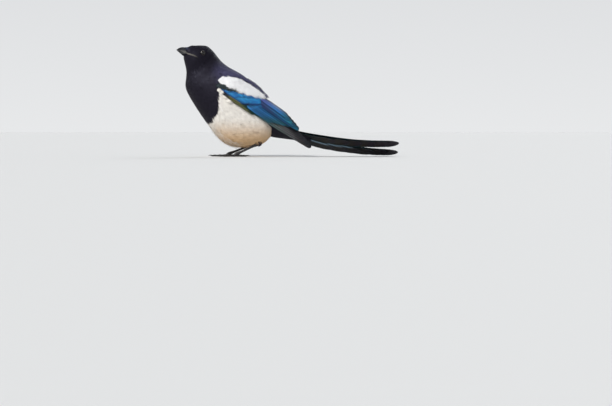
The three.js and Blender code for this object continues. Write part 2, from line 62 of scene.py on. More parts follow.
# Rungs cross the body from back to belly, from the bill's root to the tail's root.
# number, back x, back z, belly x, belly z, half the width
RUNGS = [
    (0, -73.5, 189.4, -80, 173.2, 6.8),
    (1, -67, 192, -80, 168.6, 10.4),
    (2, -59, 192.5, -78.6, 164, 13.6),
    (3, -49.5, 193, -76.7, 158.2, 16.6),
    (4, -38.2, 192.3, -74.8, 151.8, 18.2),
    (5, -30, 187.2, -73.8, 145, 19),
    (6, -24.3, 180.9, -74.2, 135.6, 20.2),
    (7, -19.3, 173.4, -75, 125.1, 23),
    (8, -12.6, 164.6, -72.6, 114.6, 27.5),
    (9, -3, 156.7, -64.8, 99.8, 31.2),
    (10, 9.2, 149.7, -51.6, 78.8, 35),
    (11, 23.2, 141.7, -35.9, 56, 37.4),
    (12, 36.8, 130.4, -22.4, 37.5, 38.5),
    (13, 50.8, 117.5, -7.5, 24, 38.5),
    (14, 62.5, 105, 9, 17.4, 37.6),
    (15, 70, 93.6, 29.8, 16.2, 35),
    (16, 75.5, 83.1, 48.1, 18.2, 30.6),
    (17, 78.6, 75.3, 63, 25.4, 25),
    (18, 78.8, 67.4, 71.8, 34.1, 18.5),
]
LAST_RUNG = 18

# Bill
BILL_TIP = (-96.9, 184.6)
BILL_PITCH = math.radians(16.6)
HOOK_LENGTH = 8
HOOK_DROP = 1
MOUTH_GAP = 0.3
# distance from the tip, half the width, height above or below the mouth's line
UPPER_BILL = [
    (0, 0.5, 0.9),
    (2, 1.3, 3),
    (5, 2, 5.2),
    (10, 3, 7.6),
    (16, 4.2, 9.2),
    (23, 5.3, 10),
    (30, 6, 10.2),
]
LOWER_BILL = [
    (1.8, 0.6, 0.7),
    (4, 1.3, 1.9),
    (8, 2.2, 3.4),
    (13, 3.2, 4.7),
    (20, 4.5, 5.2),
    (30, 5.4, 5.2),
]

# Eyes
EYE_PLACE = (-54, 13.5, 179)
EYE_LOOK = (-0.22, 0.97, 0.08)
EYE_RADIUS = 5.2

# Wings
WING_FRONT = (-21, 127)
WING_SLOPE = math.radians(33.7)
WING_COS, WING_SIN = math.cos(WING_SLOPE), math.sin(WING_SLOPE)
# distance along the wing, then the shell's section: middle height, half the height, half the width
WING_SHELL = [
    (-5, -12, 49, 34.6),
    (20, -15, 54, 38.4),
    (40, -18, 56, 39.8),
    (60, -20, 57, 40),
    (80, -22, 55, 39.4),
    (100, -22, 49, 37.8),
    (120, -18, 45, 35),
    (140, -8, 42, 32),
    (160, -4, 32, 29.2),
    (200, -2, 30, 27),
]
WING_CORE = [
    (1, 6, 18),
    (10, -3, 26),
    (25, -8, 31),
    (45, -11, 32),
    (70, -9, 28),
    (92, -6, 22),
    (112, -3, 14),
]

# Tail
TAIL_ROOT = (66, 57)
TAIL_LENGTH = 236
TAIL_ROLL = math.radians(25)
TAIL_SLOPES = (21.6, -1)
# From the middle pair outwards: length, width, how far its middle line leans out at the tip,
# and by what share the inner web is the wider one
TAIL_FEATHERS = [
    (236, 28, 19, 0),
    (219, 27, 19.5, 0.1),
    (196, 27, 19.5, 0.15),
    (172, 26, 19.5, 0.3),
    (150, 25, 19, 0.3),
    (124, 24, 18, 0.3),
]
TAIL_LAYER = 0.4
TAIL_TOP = 0.25
TAIL_LAP = (0.0, 1.1)  # the vanes' tilt, and how round their tips are
TAIL_START = (20, 3.5)  # the vanes' roots: along, and beside the middle
TAIL_RAMP = 30
TAIL_VANE = {"wear": 0.05, "sink": 2.2, "camber": 0.25, "shaft": 0.55, "thick": 0.3}
RUMP_DROP = 2.4  # how far the coverts hang below the tail's line
TAIL_COVERTS = [
    (-6, 15, 13),
    (8, 18, 15.5),
    (22, 17.5, 13),
    (38, 16.5, 9),
    (54, 15, 5.5),
    (70, 12, 3.6),
    (84, 7, 2.6),
]

# Legs
HEEL = {"left": (53, -16, 23), "right": (41, 16, 21)}
BALL = {"left": (13, -15, 4.2), "right": (-2, 15, 4.2)}
# share of the way down, half the thickness fore and aft, half the width
TARSUS = [
    (0, 3.2, 3),
    (0.1, 3.4, 3.1),
    (0.25, 2.3, 2),
    (0.5, 2, 1.7),
    (0.75, 2.1, 1.8),
    (0.92, 2.9, 2.8),
    (1, 3.1, 3.3),
]
# direction in degrees from straight ahead, length, half the thickness, claw's length
TOES = {
    "middle": (-2, 28, 2.2, 9),
    "inner": (-26, 21, 2, 8),
    "outer": (24, 22, 2, 8),
    "hind": (177, 16, 2.3, 11),
}


# Numbers and vectors
def smoothstep(value, low, high):
    share = np.clip((np.asarray(value, float) - low) / (high - low), 0, 1)
    return share * share * (3 - 2 * share)


def mix(a, b, share):
    share = np.asarray(share)[..., None]
    return np.asarray(a) * (1 - share) + np.asarray(b) * share


def unit(vectors):
    return vectors / np.maximum(np.linalg.norm(vectors, axis=-1, keepdims=True), 1e-9)


def read(table, keys):
    """A table read at any keys on a smooth curve through its rows, and straight on past its ends."""
    rows = np.asarray(table, float)
    keys = np.asarray(keys, float)
    last = len(rows) - 1
    i = np.clip(np.searchsorted(rows[:, 0], keys, side="left") - 1, 0, last - 1)
    start, end = rows[i], rows[i + 1]
    before, after = rows[np.maximum(i - 1, 0)], rows[np.minimum(i + 2, last)]
    span = end[..., :1] - start[..., :1]
    f = (keys[..., None] - start[..., :1]) / span
    inside = np.clip(f, 0, 1)
    value, goal = start[..., 1:], end[..., 1:]
    leave = (goal - before[..., 1:]) / (end[..., :1] - before[..., :1]) * span
    arrive = (after[..., 1:] - value) / (after[..., :1] - start[..., :1]) * span
    bend = 2 * (value - goal) + leave + arrive
    smooth = value + inside * (leave + inside * (3 * (goal - value) - 2 * leave - arrive + inside * bend))
    beyond = np.where(f > 1, arrive, leave) * (f - inside)
    return np.moveaxis(smooth + beyond, -1, 0)


def circle(segments):
    return np.linspace(0, FULL_TURN, segments, endpoint=False)


def ring_grid(keys, segments):
    """Two grids for a form made of rings: each ring's key, and the angle round it."""
    return np.meshgrid(keys, circle(segments), indexing="ij")


def even_places(rows, columns):
    """Places that share out an unwrap evenly between a grid's points."""
    return np.stack(np.broadcast_arrays(np.arange(columns) / columns, np.arange(rows)[:, None] / rows), -1)


def draws(part, number=0):
    return np.random.default_rng(SEEDS[part] + number)


SEEDS = {
    "coat": 100, "wisps": 150, "wing": 200, "patches": 300,
    "tail": 400, "rump": 401, "bristles": 500, "thighs": 600,
}


def swung(vectors, angle):
    """Vectors turned to the bird's left about the upright axis."""
    x, y, z = np.moveaxis(np.asarray(vectors, float), -1, 0)
    cosine, sine = np.cos(angle), np.sin(angle)
    return np.stack([x * cosine - y * sine, x * sine + y * cosine, z], -1)


def turned(points):
    """Points of the straight bird, carried to their places on the bird that looks to its left."""
    x, _, z = np.moveaxis(points, -1, 0)
    up = (x - NECK_FOOT[0]) * NECK_LINE[0] + (z - NECK_FOOT[1]) * NECK_LINE[1]
    axis = np.array([TURN_AXIS_X, 0, 0])
    return axis + swung(points - axis, HEAD_TURN * smoothstep(up, TURN_FROM, TURN_TO))


# Surfaces, each read at two numbers and a height above it
def straight_place(rung, around, out=0.0):
    """A place on the body of the bird that looks straight ahead."""
    back_x, back_z, belly_x, belly_z, half = read(RUNGS, rung)
    reach = np.hypot(back_x - belly_x, back_z - belly_z) / 2
    rise = np.cos(around) * (reach + out) / reach / 2
    x = (back_x + belly_x) / 2 + (back_x - belly_x) * rise
    z = (back_z + belly_z) / 2 + (back_z - belly_z) * rise
    return np.stack([x, (half + out) * np.sin(around), z], -1)


def body_place(rung, around, out=0.0):
    return turned(straight_place(rung, around, out))


def wing_place(side):
    def place(along, up, out=0.0):
        middle, reach, half = read(WING_SHELL, along)
        level = np.clip((up - middle) / reach, -0.97, 0.97)
        across = half * np.sqrt(1 - level**2)
        tilt = np.arctan2(level / reach, across / half**2)
        height = up + out * np.sin(tilt)
        x = WING_FRONT[0] + along * WING_COS + height * WING_SIN
        z = WING_FRONT[1] - along * WING_SIN + height * WING_COS
        return np.stack([x, side * (across + out * np.cos(tilt)), z], -1)

    return place


def tail_line():
    """The tail's own bent line: distances along it, places and slopes."""
    along = np.linspace(-20, TAIL_LENGTH + 20, 400)
    slope = np.radians(np.interp(along, [0, TAIL_LENGTH], TAIL_SLOPES))
    step = np.gradient(along)
    x = np.cumsum(np.cos(slope) * step)
    z = -np.cumsum(np.sin(slope) * step)
    x += TAIL_ROOT[0] - np.interp(0, along, x)
    z += TAIL_ROOT[1] - np.interp(0, along, z)
    return along, x, z, slope


TAIL_LINE = tail_line()


def tail_place(along, across, out=0.0):
    x, z, slope = (np.interp(along, TAIL_LINE[0], row) for row in TAIL_LINE[1:])
    ahead = np.stack([np.cos(slope), np.zeros_like(slope), -np.sin(slope)], -1)
    level = np.broadcast_to([0.0, 1.0, 0.0], ahead.shape)
    right = math.cos(TAIL_ROLL) * level - math.sin(TAIL_ROLL) * np.cross(ahead, level)
    up = np.cross(ahead, right)
    middle = np.stack([x, np.zeros_like(x), z], -1)
    return middle + right * np.asarray(across)[..., None] + up * np.asarray(out)[..., None]


def rump_place(along, around, out=0.0):
    """The sleeve of tail coverts round the tail's root."""
    half, reach = read(TAIL_COVERTS, along)
    return tail_place(along, (half + out) * np.sin(around), (reach + out) * np.cos(around) - RUMP_DROP)


def bill_place(table, up):
    def place(back, around, out=0.0):
        half, height = read(table, back)
        droop = HOOK_DROP * (1 - smoothstep(back, 0, HOOK_LENGTH)) ** 2
        rise = up * (MOUTH_GAP / 2 + (height + out) * np.sin(around)) - droop
        x = BILL_TIP[0] + back * math.cos(BILL_PITCH) + rise * math.sin(BILL_PITCH)
        z = BILL_TIP[1] - back * math.sin(BILL_PITCH) + rise * math.cos(BILL_PITCH)
        return turned(np.stack([x, (half + out) * np.cos(around), z], -1))

    return place


def directions(place, p, q, flip=1):
    """How a surface runs along p and q at a place, and which way is out."""
    step_p, step_q = 1e-3, 1e-4
    along = (place(p + step_p, q) - place(p - step_p, q)) / (2 * step_p)
    across = (place(p, q + step_q) - place(p, q - step_q)) / (2 * step_q)
    return along, across, flip * unit(np.cross(along, across))


# Where the frame puts the bird's own frame
def eye_centre(side):
    return turned(np.array([EYE_PLACE[0], side * EYE_PLACE[1], EYE_PLACE[2]], float))


low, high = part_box("eye_left")
ORIGIN = np.array([(low.x + high.x) / 2 / MM, 0, 0]) - [eye_centre(SIDES["left"])[0], 0, 0]


# Meshes from arrays
def put(name, data):
    """A new object in the scene."""
    made = bpy.data.objects.new(name, data)
    bpy.context.scene.collection.objects.link(made)
    return made


class Mesh:
    """Gathers triangles, with a colour, a place on the feather and a place on the unwrap for each point."""

    def __init__(self):
        self.points, self.triangles, self.tints, self.vanes, self.bakes = [], [], [], [], []
        self.count = 0

    def add(self, points, triangles, tints, vanes, bakes):
        self.points.append(points.reshape(-1, 3))
        self.triangles.append(triangles.reshape(-1, 3) + self.count)
        self.tints.append(tints.reshape(-1, 3))
        self.vanes.append(vanes.reshape(-1, 2))
        self.bakes.append(bakes.reshape(-1, 2))
        self.count += len(self.points[-1])

    def piece(self, name, material, slot, crease=50, instead_of=()):
        points = (np.concatenate(self.points) + ORIGIN) * MM
        triangles = np.concatenate(self.triangles).astype(np.int32)
        mesh = bpy.data.meshes.new(name)
        mesh.vertices.add(len(points))
        mesh.vertices.foreach_set("co", points.astype(np.float32).ravel())
        mesh.loops.add(triangles.size)
        mesh.loops.foreach_set("vertex_index", triangles.ravel())
        mesh.polygons.add(len(triangles))
        mesh.polygons.foreach_set("loop_start", np.arange(0, triangles.size, 3, dtype=np.int32))
        colours = np.ones((len(points), 4), np.float32)
        colours[:, :3] = np.concatenate(self.tints)
        mesh.color_attributes.new("tint", "FLOAT_COLOR", "POINT").data.foreach_set("color", colours.ravel())
        for title, values in (("OFBake", self.bakes), ("vane", self.vanes)):
            corners = np.concatenate(values)[triangles.ravel()].astype(np.float32)
            mesh.uv_layers.new(name=title).data.foreach_set("uv", corners.ravel())
        mesh.update(calc_edges=True)
        mesh.validate()
        mesh.shade_smooth()
        mesh.set_sharp_from_angle(angle=math.radians(crease))
        mesh.materials.append(material)
        made = put(name, mesh)
        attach(made, BODY)
        if instead_of:
            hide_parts(*instead_of)


def grid_triangles(rows, columns, closed=False):
    """Triangles over a grid of points, its columns closed into a ring or not."""
    r, c = np.meshgrid(np.arange(rows - 1), np.arange(columns if closed else columns - 1), indexing="ij")
    a, b = r * columns + c, r * columns + (c + 1) % columns
    return np.stack([a, b, b + columns, a, b + columns, a + columns], -1).reshape(-1, 3)


def add_loft(mesh, points, tints, places=None, capped=True):
    """A closed form through rings: points is (rings, ring size, 3). Its ends are capped, or they meet."""
    rings, size = points.shape[:2]
    if places is None:
        places = even_places(rings, size)
    rows = [
        np.broadcast_to(values, (rings, size, width)).reshape(-1, width)
        for values, width in ((points, 3), (tints, 3), (places, 2))
    ]
    triangles = grid_triangles(rings, size, closed=True)
    if capped:
        i = np.arange(size)
        j = (i + 1) % size
        start = (rings - 1) * size
        first = np.full(size, rings * size)
        triangles = np.concatenate(
            [triangles, np.stack([j, i, first], -1), np.stack([start + i, start + j, first + 1], -1)]
        )
        ends = [np.stack([points[0].mean(0), points[-1].mean(0)])] + [row[[0, start]] for row in rows[1:]]
        rows = [np.concatenate(pair) for pair in zip(rows, ends)]
    mesh.add(rows[0], triangles, rows[1], rows[2], rows[2])


def ring_tube(spine, thick, wide, segments):
    """Rings round a spine, thick up and down and wide across: (stations, segments, 3)."""
    ahead = unit(np.gradient(spine, axis=0))
    across = unit(np.stack([ahead[:, 1], -ahead[:, 0], np.zeros(len(spine))], -1))
    up = np.cross(across, ahead)
    turn = circle(segments)
    thick, wide = (size.reshape(len(spine), -1) for size in (thick, wide))
    return (
        spine[:, None]
        + across[:, None] * (wide * np.cos(turn))[..., None]
        + up[:, None] * (thick * np.sin(turn))[..., None]
    )


# Locks: thin three-sided strands, widest before the middle, that taper to a fine point
PATCH = 0.003  # how wide a tuft is on the unwrap
LOCK_HALF = np.array([0.6, 1, 0.78, 0])
LOCK_RIDGE = np.array([0.6, 1, 0.7, 0])
STATIONS = len(LOCK_HALF)
SHOWN = 2  # the station in the middle of the part that the next feathers leave uncovered


def add_locks(mesh, spine, normal, half, thick, tints, bakes):
    """spine and normal are (locks, stations, 3), and half and thick the half widths and ridges."""
    count, stations = spine.shape[:2]
    side = unit(np.cross(normal, np.gradient(spine, axis=1))) * half[..., None]
    rings = np.stack([spine - side, spine + normal * thick[..., None], spine + side], 2)
    points = np.concatenate([rings[:, :-1].reshape(count, -1, 3), spine[:, -1:]], 1)
    size = points.shape[1]
    tip, last = size - 1, 3 * (stations - 2)
    cone = [(last + (i + 1) % 3, last + i, tip) for i in range(3)]
    triangles = grid_triangles(stations - 1, 3, closed=True)[:, ::-1]
    template = np.concatenate([triangles, cone, [(0, 1, 2)]])[:, ::-1]
    station = np.append(np.repeat(np.arange(stations - 1), 3), stations - 1)
    share = station / (stations - 1)
    across = np.append(np.tile([-1.0, 0.0, 1.0], stations - 1), 0.0)
    mesh.add(
        points,
        template[None] + np.arange(count)[:, None, None] * size,
        tints[:, station],
        np.broadcast_to(np.stack([across, share], -1), (count, size, 2)),
        bakes[:, None] + np.stack([across * 0.5, share], -1) * PATCH,
    )


def fan(place, p, q, sizes, flip, heading, rng):
    """Feathers split into strands: the spine and normal of every strand on a surface, and where it is seen.

    sizes holds arrays for each feather: length, width and rise, and the number of strands for all.
    """
    length, width, rise = (sizes[key][:, None] for key in ("length", "width", "rise"))
    along, across, _ = directions(place, p, q, flip)
    long_step = np.linalg.norm(along, axis=-1)
    ahead = along / long_step[:, None]
    leaning = (across * ahead).sum(-1)
    wide_step = np.linalg.norm(across - ahead * leaning[:, None], axis=-1)
    long_step, leaning, wide_step = (v[:, None, None] for v in (long_step, leaning, wide_step))
    strands = sizes["strands"]
    spread = np.linspace(-1, 1, strands)[None, :] + rng.normal(0, 0.35 / strands, (len(p), strands))
    reach = length * (np.sqrt(np.clip(1 - 0.55 * spread**2, 0.1, 1)) + rng.normal(0, 0.045, spread.shape))
    turn = (heading + np.zeros(len(p)))[:, None, None]
    t = np.linspace(0, 1, STATIONS)
    forward = reach[..., None] * t
    sideways = (width / 2 * spread)[..., None] * (0.28 + 0.72 * t**0.85)
    sideways = sideways + (rng.normal(0, 0.035, spread.shape) * length)[..., None] * t**2
    dq = (forward * np.sin(turn) + sideways * np.cos(turn)) / wide_step
    dp = (forward * np.cos(turn) - sideways * np.sin(turn) - leaning * dq) / long_step
    p_at, q_at = p[:, None, None] + dp, q[:, None, None] + dq
    rise = rise[..., None]
    lift = rise * (smoothstep(t, 0, 0.55) + 0.25 * t) - ROOT_DEPTH * (1 - t) ** 2
    lift = lift - 0.3 * rise * (spread**2)[..., None] + rng.uniform(0, 0.12, spread.shape)[..., None] * t
    spine = place(p_at, q_at, lift).reshape(-1, STATIONS, 3)
    normal = directions(place, p_at, q_at, flip)[2].reshape(-1, STATIONS, 3)
    return spine, normal, p_at[..., SHOWN].ravel(), q_at[..., SHOWN].ravel()


def add_fans(mesh, place, p, q, sizes, tint, bake, rng, flip=1, heading=0.0, keep_clear=()):
    """Feathers of strands on a surface. tint is a colour for each, or a function of each strand's place."""
    strands = sizes["strands"]
    spine, normal, p_shown, q_shown = fan(place, p, q, sizes, flip, heading, rng)
    if callable(tint):
        tint = tint(p_shown, q_shown, spine[:, SHOWN])
    else:
        tint = np.repeat(tint, strands, axis=0)
    width = np.repeat(sizes["width"] / strands * sizes.get("fill", 1.9), strands)
    half = width[:, None] / 2 * LOCK_HALF
    thick = np.minimum(width * 0.16, 0.11)[:, None] * LOCK_RIDGE
    shade = rng.normal(1, sizes.get("mottle", 0.06), (len(spine), 1, 1))
    # The root-to-tip ramp is painted shade: darker at the root, where the feathers above cover it, lightest at
    # the tip
    shades = sizes.get("painted_root_shade", (0.7, 0.95, 1.08))
    painted_root_shade = np.interp(np.linspace(0, 1, STATIONS), [0, 0.5, 1], shades)[None, :, None]
    tints = np.clip(tint[:, None] * shade * painted_root_shade, 0, 1)
    bakes = np.repeat(bake, strands, axis=0)
    good = np.ones(len(spine), bool)
    for centre, radius in keep_clear:
        near = np.linalg.norm(spine - centre, axis=-1) < radius
        good &= ~near[:, 0]
        short = near.any(1) & good
        spine[short] = shortened(spine[short], near[short])
    add_locks(mesh, *(rows[good] for rows in (spine, normal, half, thick, tints, bakes)))


def shortened(spine, near):
    """Strands cut back so that they end before the first station that is too near."""
    t = np.linspace(0, 1, STATIONS) * (near.argmax(1) - 0.6)[:, None]
    station = np.clip(t.astype(int), 0, STATIONS - 2)
    rows = np.arange(len(spine))[:, None]
    return mix(spine[rows, station], spine[rows, station + 1], t - station)


def make_fans(name, look, place, p, q, sizes, tint, bake, rng, **ways):
    """A piece of feathers on a surface. look is its material and its slot."""
    mesh = Mesh()
    add_fans(mesh, place, p, q, sizes, tint, bake, rng, **ways)
    mesh.piece(name, *look)


# Markings of the body, by rung and by degrees down from the ridge of the back. The warm tan low on the belly is
# partly stains and partly painted shade, and the mantle's violet-blue is partly painted sheen.
BLACK = np.array([0.0085, 0.0070, 0.0115])
# Violet-blue of the upper back: partly the plumage's own gloss colour, partly painted sheen of the sky on its
# top
MANTLE = np.array([0.060, 0.057, 0.115])
WHITE = np.array([0.80, 0.765, 0.71])
# Warm tan low on the belly and the thighs: partly stained plumage, partly painted shade and warm light
# reflected from the ground
TAN_STAIN_AND_PAINTED_SHADE = np.array([0.66, 0.42, 0.205])
RUMP = np.array([0.30, 0.29, 0.30])
BIB_EDGE = [(0, 9.6), (60, 9.9), (82, 10.3), (95, 10.55), (110, 11.05), (128, 11.2), (155, 11.1), (180, 10.8)]
BACK_EDGE = [(8, 62), (14, 62), (16, 74), (18, 92), (20, 100)]
RUMP_BAND = (14.3, 15.6)


def body_tint(rung, around, points):
    """The colour of the plumage at places on the body, and how far it is in the white."""
    down = np.degrees(np.abs((around + math.pi) % FULL_TURN - math.pi))
    behind_bib = rung - read(BIB_EDGE, down)[0]
    below_back = down - read(BACK_EDGE, rung)[0]
    white = smoothstep(behind_bib, -0.04, 0.04) * smoothstep(below_back, -2, 2)
    x, _, z = np.moveaxis(points, -1, 0)
    # Warm tan towards the bottom of the belly, behind its front: partly stains, partly painted shade and warm
    # reflected light from below
    pale = mix(WHITE, TAN_STAIN_AND_PAINTED_SHADE, 0.9 * smoothstep(-z, -70, -24) * smoothstep(x, -46, -14))
    # The top of the back from the nape on takes the mantle colour, partly painted sheen of the sky
    dark = mix(BLACK, MANTLE, smoothstep(rung, 6.5, 10) * smoothstep(-down, -85, -45))
    first, last = RUMP_BAND
    band = smoothstep(rung, first - 0.3, first) * smoothstep(-rung, -last - 0.3, -last)
    dark = mix(dark, RUMP, band * smoothstep(-down, -40, -25))
    return mix(dark, pale, white), white


def coat_tint(rung, around, points):
    return body_tint(rung, around, points)[0]


def body_unwrap(rung, around):
    return np.stack([(around / FULL_TURN) % 1 * 0.98 + 0.01, (rung + 1) / (LAST_RUNG + 3)], -1)


# The coat. rung, feather's length, its width, rise above the outline's skin
COAT_SIZES = [
    (0, 2.6, 1.7, 0.55),
    (1, 3.2, 2.0, 0.65),
    (2.5, 4.4, 2.6, 0.8),
    (4.5, 6.0, 3.4, 1.0),
    (6.5, 8.0, 4.6, 1.15),
    (9, 11.0, 6.4, 1.3),
    (12, 15.0, 8.4, 1.45),
    (15, 16.0, 8.6, 1.45),
    (18, 15.0, 7.6, 1.35),
]
# the coat's pieces: from rung, to rung, strands to a feather, which colour they hold
COAT_PIECES = {
    "coat_face": (-0.25, 3.2, 7, "any"),
    "coat_head": (3.2, 6.2, 11, "any"),
    "coat_neck": (6.2, 8.8, 13, "any"),
    "coat_black": (8.8, 18.6, 15, "dark"),
    "coat_breast": (9.2, 13, 17, "pale"),
    "coat_belly": (13, 18.6, 17, "pale"),
}
COAT_OVERLAP = 5.4  # how many feathers deep the coat is
# share of the rise, mottling, and lightness at a strand's root, middle and tip: painted shade at the root that
# the feathers above cover, lightest at the exposed tip
COAT_WAYS = {"dark": (0.6, 0.1, (0.75, 1, 1.12)), "pale": (0.45, 0.045, (0.86, 0.97, 1.05))}
LID_CLEARANCE = 0.35
LIP_CLEARANCE = 0.95
PLASTIC = 1.3247179572447460  # the number whose powers scatter points most evenly on a square


def spread_points(count, rng):
    """Evenly scattered points of the unit square."""
    i = np.arange(count)[:, None] + rng.integers(1, 5000)
    return (i / PLASTIC ** np.arange(1, 3) + rng.uniform()) % 1


def spread_over(crowding, p_range, q_range, rng, cells=90):
    """Points (p, q) whose number in any part of the ranges is what crowding(p, q) adds up to there."""
    p_edges, q_edges = (np.linspace(*ends, cells + 1) for ends in (p_range, q_range))
    middles = [edges[:-1] + np.diff(edges) / 2 for edges in (p_edges, q_edges)]
    p_grid, q_grid = np.meshgrid(*middles, indexing="ij")
    amount = crowding(p_grid.ravel(), q_grid.ravel()).reshape(cells, cells)
    amount = amount * (p_edges[1] - p_edges[0]) * (q_edges[1] - q_edges[0])
    rows = np.concatenate([[0], np.cumsum(amount.sum(1))])
    uv = spread_points(int(rows[-1]), rng)
    p = np.interp(uv[:, 0] * rows[-1], rows, p_edges)
    q = np.empty_like(p)
    row_of = np.clip(np.searchsorted(p_edges, p) - 1, 0, cells - 1)
    for row in range(cells):
        inside = row_of == row
        sums = np.concatenate([[0], np.cumsum(amount[row])])
        q[inside] = np.interp(uv[inside, 1] * sums[-1], sums, q_edges)
    return p, q


def coat_crowding(rung, around):
    along, across, _ = directions(body_place, rung, around)
    length, width, _ = read(COAT_SIZES, rung)
    return np.linalg.norm(np.cross(along, across), axis=-1) * COAT_OVERLAP / (length * width)


def under_wing(points):
    """How far inside a folded wing's outline places on the body are: 1 well under it, 0 outside."""
    x, y, z = np.moveaxis(points, -1, 0)
    ahead, above = x - WING_FRONT[0], z - WING_FRONT[1]
    along = ahead * WING_COS - above * WING_SIN
    up = ahead * WING_SIN + above * WING_COS
    bottom, top = read(WING_CORE, np.clip(along, 1, 112))
    inside = smoothstep(up, bottom + 3, bottom + 6) * smoothstep(-up, -top + 3, -top + 6)
    return inside * smoothstep(along, 8, 14) * smoothstep(-along, -112, -104) * (np.abs(y) > 15)


def make_coat(looks):
    clear = [(eye_centre(side) + 1.5 * eye_look(side), EYE_RADIUS - LID_CLEARANCE) for side in SIDES.values()]
    for side in SIDES.values():
        clear += [(point, LIP_CLEARANCE) for point in mouth_line(side)[0][::2]]
    for number, (name, (first, last, strands, colour)) in enumerate(COAT_PIECES.items()):
        rng = draws("coat", number)
        rung, around = spread_over(coat_crowding, (first, last), (0, FULL_TURN), rng)
        points = body_place(rung, around)
        keep = under_wing(points) < 0.5
        if colour != "any":
            keep &= (body_tint(rung, around, points)[1] > 0.5) == (colour == "pale")
        rung, around = rung[keep], around[keep]
        length, width, rise = read(COAT_SIZES, rung)
        vary = rng.normal(1, 0.1, len(rung))
        kind = "pale" if colour == "pale" else "dark"
        rise_share, mottle, painted_root_shade = COAT_WAYS[kind]
        sizes = {
            "length": length * vary, "width": width * vary, "rise": rise * rise_share,
            "strands": strands, "mottle": mottle, "painted_root_shade": painted_root_shade,
        }
        heading = rng.normal(0, 0.09, len(rung))
        bake = body_unwrap(rung, around)
        make_fans(name, looks[kind], body_place, rung, around, sizes, coat_tint, bake, rng,
                  heading=heading, keep_clear=clear)


# Long thin feathers that stand out from the coat
# name: rungs, degrees down from the back, how many, length, width, rise, colour, look
STREAK = np.array([0.046, 0.046, 0.062])
WISPS = {
    "throat_streaks": ((4.6, 8.8), (88, 165), 330, 8.5, 0.95, 0.75, STREAK, "dark"),
    "belly_fringe": ((11.2, 14.2), (142, 180), 700, 12, 0.32, 3.2, WHITE, "pale"),
}


def make_wisps(looks):
    for number, (name, row) in enumerate(WISPS.items()):
        rungs, degrees, count, length, width, rise, colour, kind = row
        rng = draws("wisps", number)
        uv = spread_points(count, rng)
        rung = rungs[0] + (rungs[1] - rungs[0]) * uv[:, 0]
        down = np.radians(degrees[0] + (degrees[1] - degrees[0]) * uv[:, 1])
        around = down * np.where(rng.uniform(size=count) < 0.5, -1, 1)
        sizes = {
            "length": length * rng.uniform(0.75, 1.2, count), "width": np.full(count, width),
            "rise": rise * rng.uniform(0.7, 1.1, count), "strands": 1, "fill": 1, "mottle": 0.25,
        }
        make_fans(name, looks[kind], body_place, rung, around, sizes, np.tile(colour, (count, 1)),
                  body_unwrap(rung, around), rng, heading=rng.normal(0, 0.12, count))


# The skin under the coat
SKIN_RINGS = 150
SKIN_SEGMENTS = 112
THIGH_SHARES = (-0.16, 0, 0.2, 0.45, 0.7, 1)
THIGH_SIZES = np.array([2.9, 4.1, 5.6, 7.4, 9, 9])
THIGH_RISE = (-16, 4, 26)  # from the heel to the thigh's top: ahead, outwards and up
THIGH_FLATNESS = 0.9
THIGH_COAT = 0.4


def thigh_spine(name):
    heel = np.array(HEEL[name], float)
    rise = THIGH_RISE * np.array([1, SIDES[name], 1])
    return heel + rise * np.array(THIGH_SHARES)[:, None]


def make_skin(material):
    mesh = Mesh()
    rung, around = ring_grid(np.linspace(0, LAST_RUNG, SKIN_RINGS), SKIN_SEGMENTS)
    points = body_place(rung, around, -COAT_DEPTH)
    tint, white = body_tint(rung, around, points)
    add_loft(mesh, points, tint * mix([0.4], [0.95], white), body_unwrap(rung, around))
    for name in SIDES:
        sizes = THIGH_SIZES - THIGH_COAT
        add_loft(mesh, ring_tube(thigh_spine(name), sizes, sizes * THIGH_FLATNESS, 20), BLACK * 1.3, 0.5)
    mesh.piece("skin", material, "white_plumage", 80, ["head", "neck", "torso", "thigh_left", "thigh_right"])


# Vanes: a feather with a shaft, two webs, barbs and a worn edge
VANE_COLUMNS = np.array([-1, -0.8, -0.55, -0.28, -0.07, 0, 0.07, 0.28, 0.55, 0.8, 1])
SWEEP = 0.35  # how far the webs sweep forwards


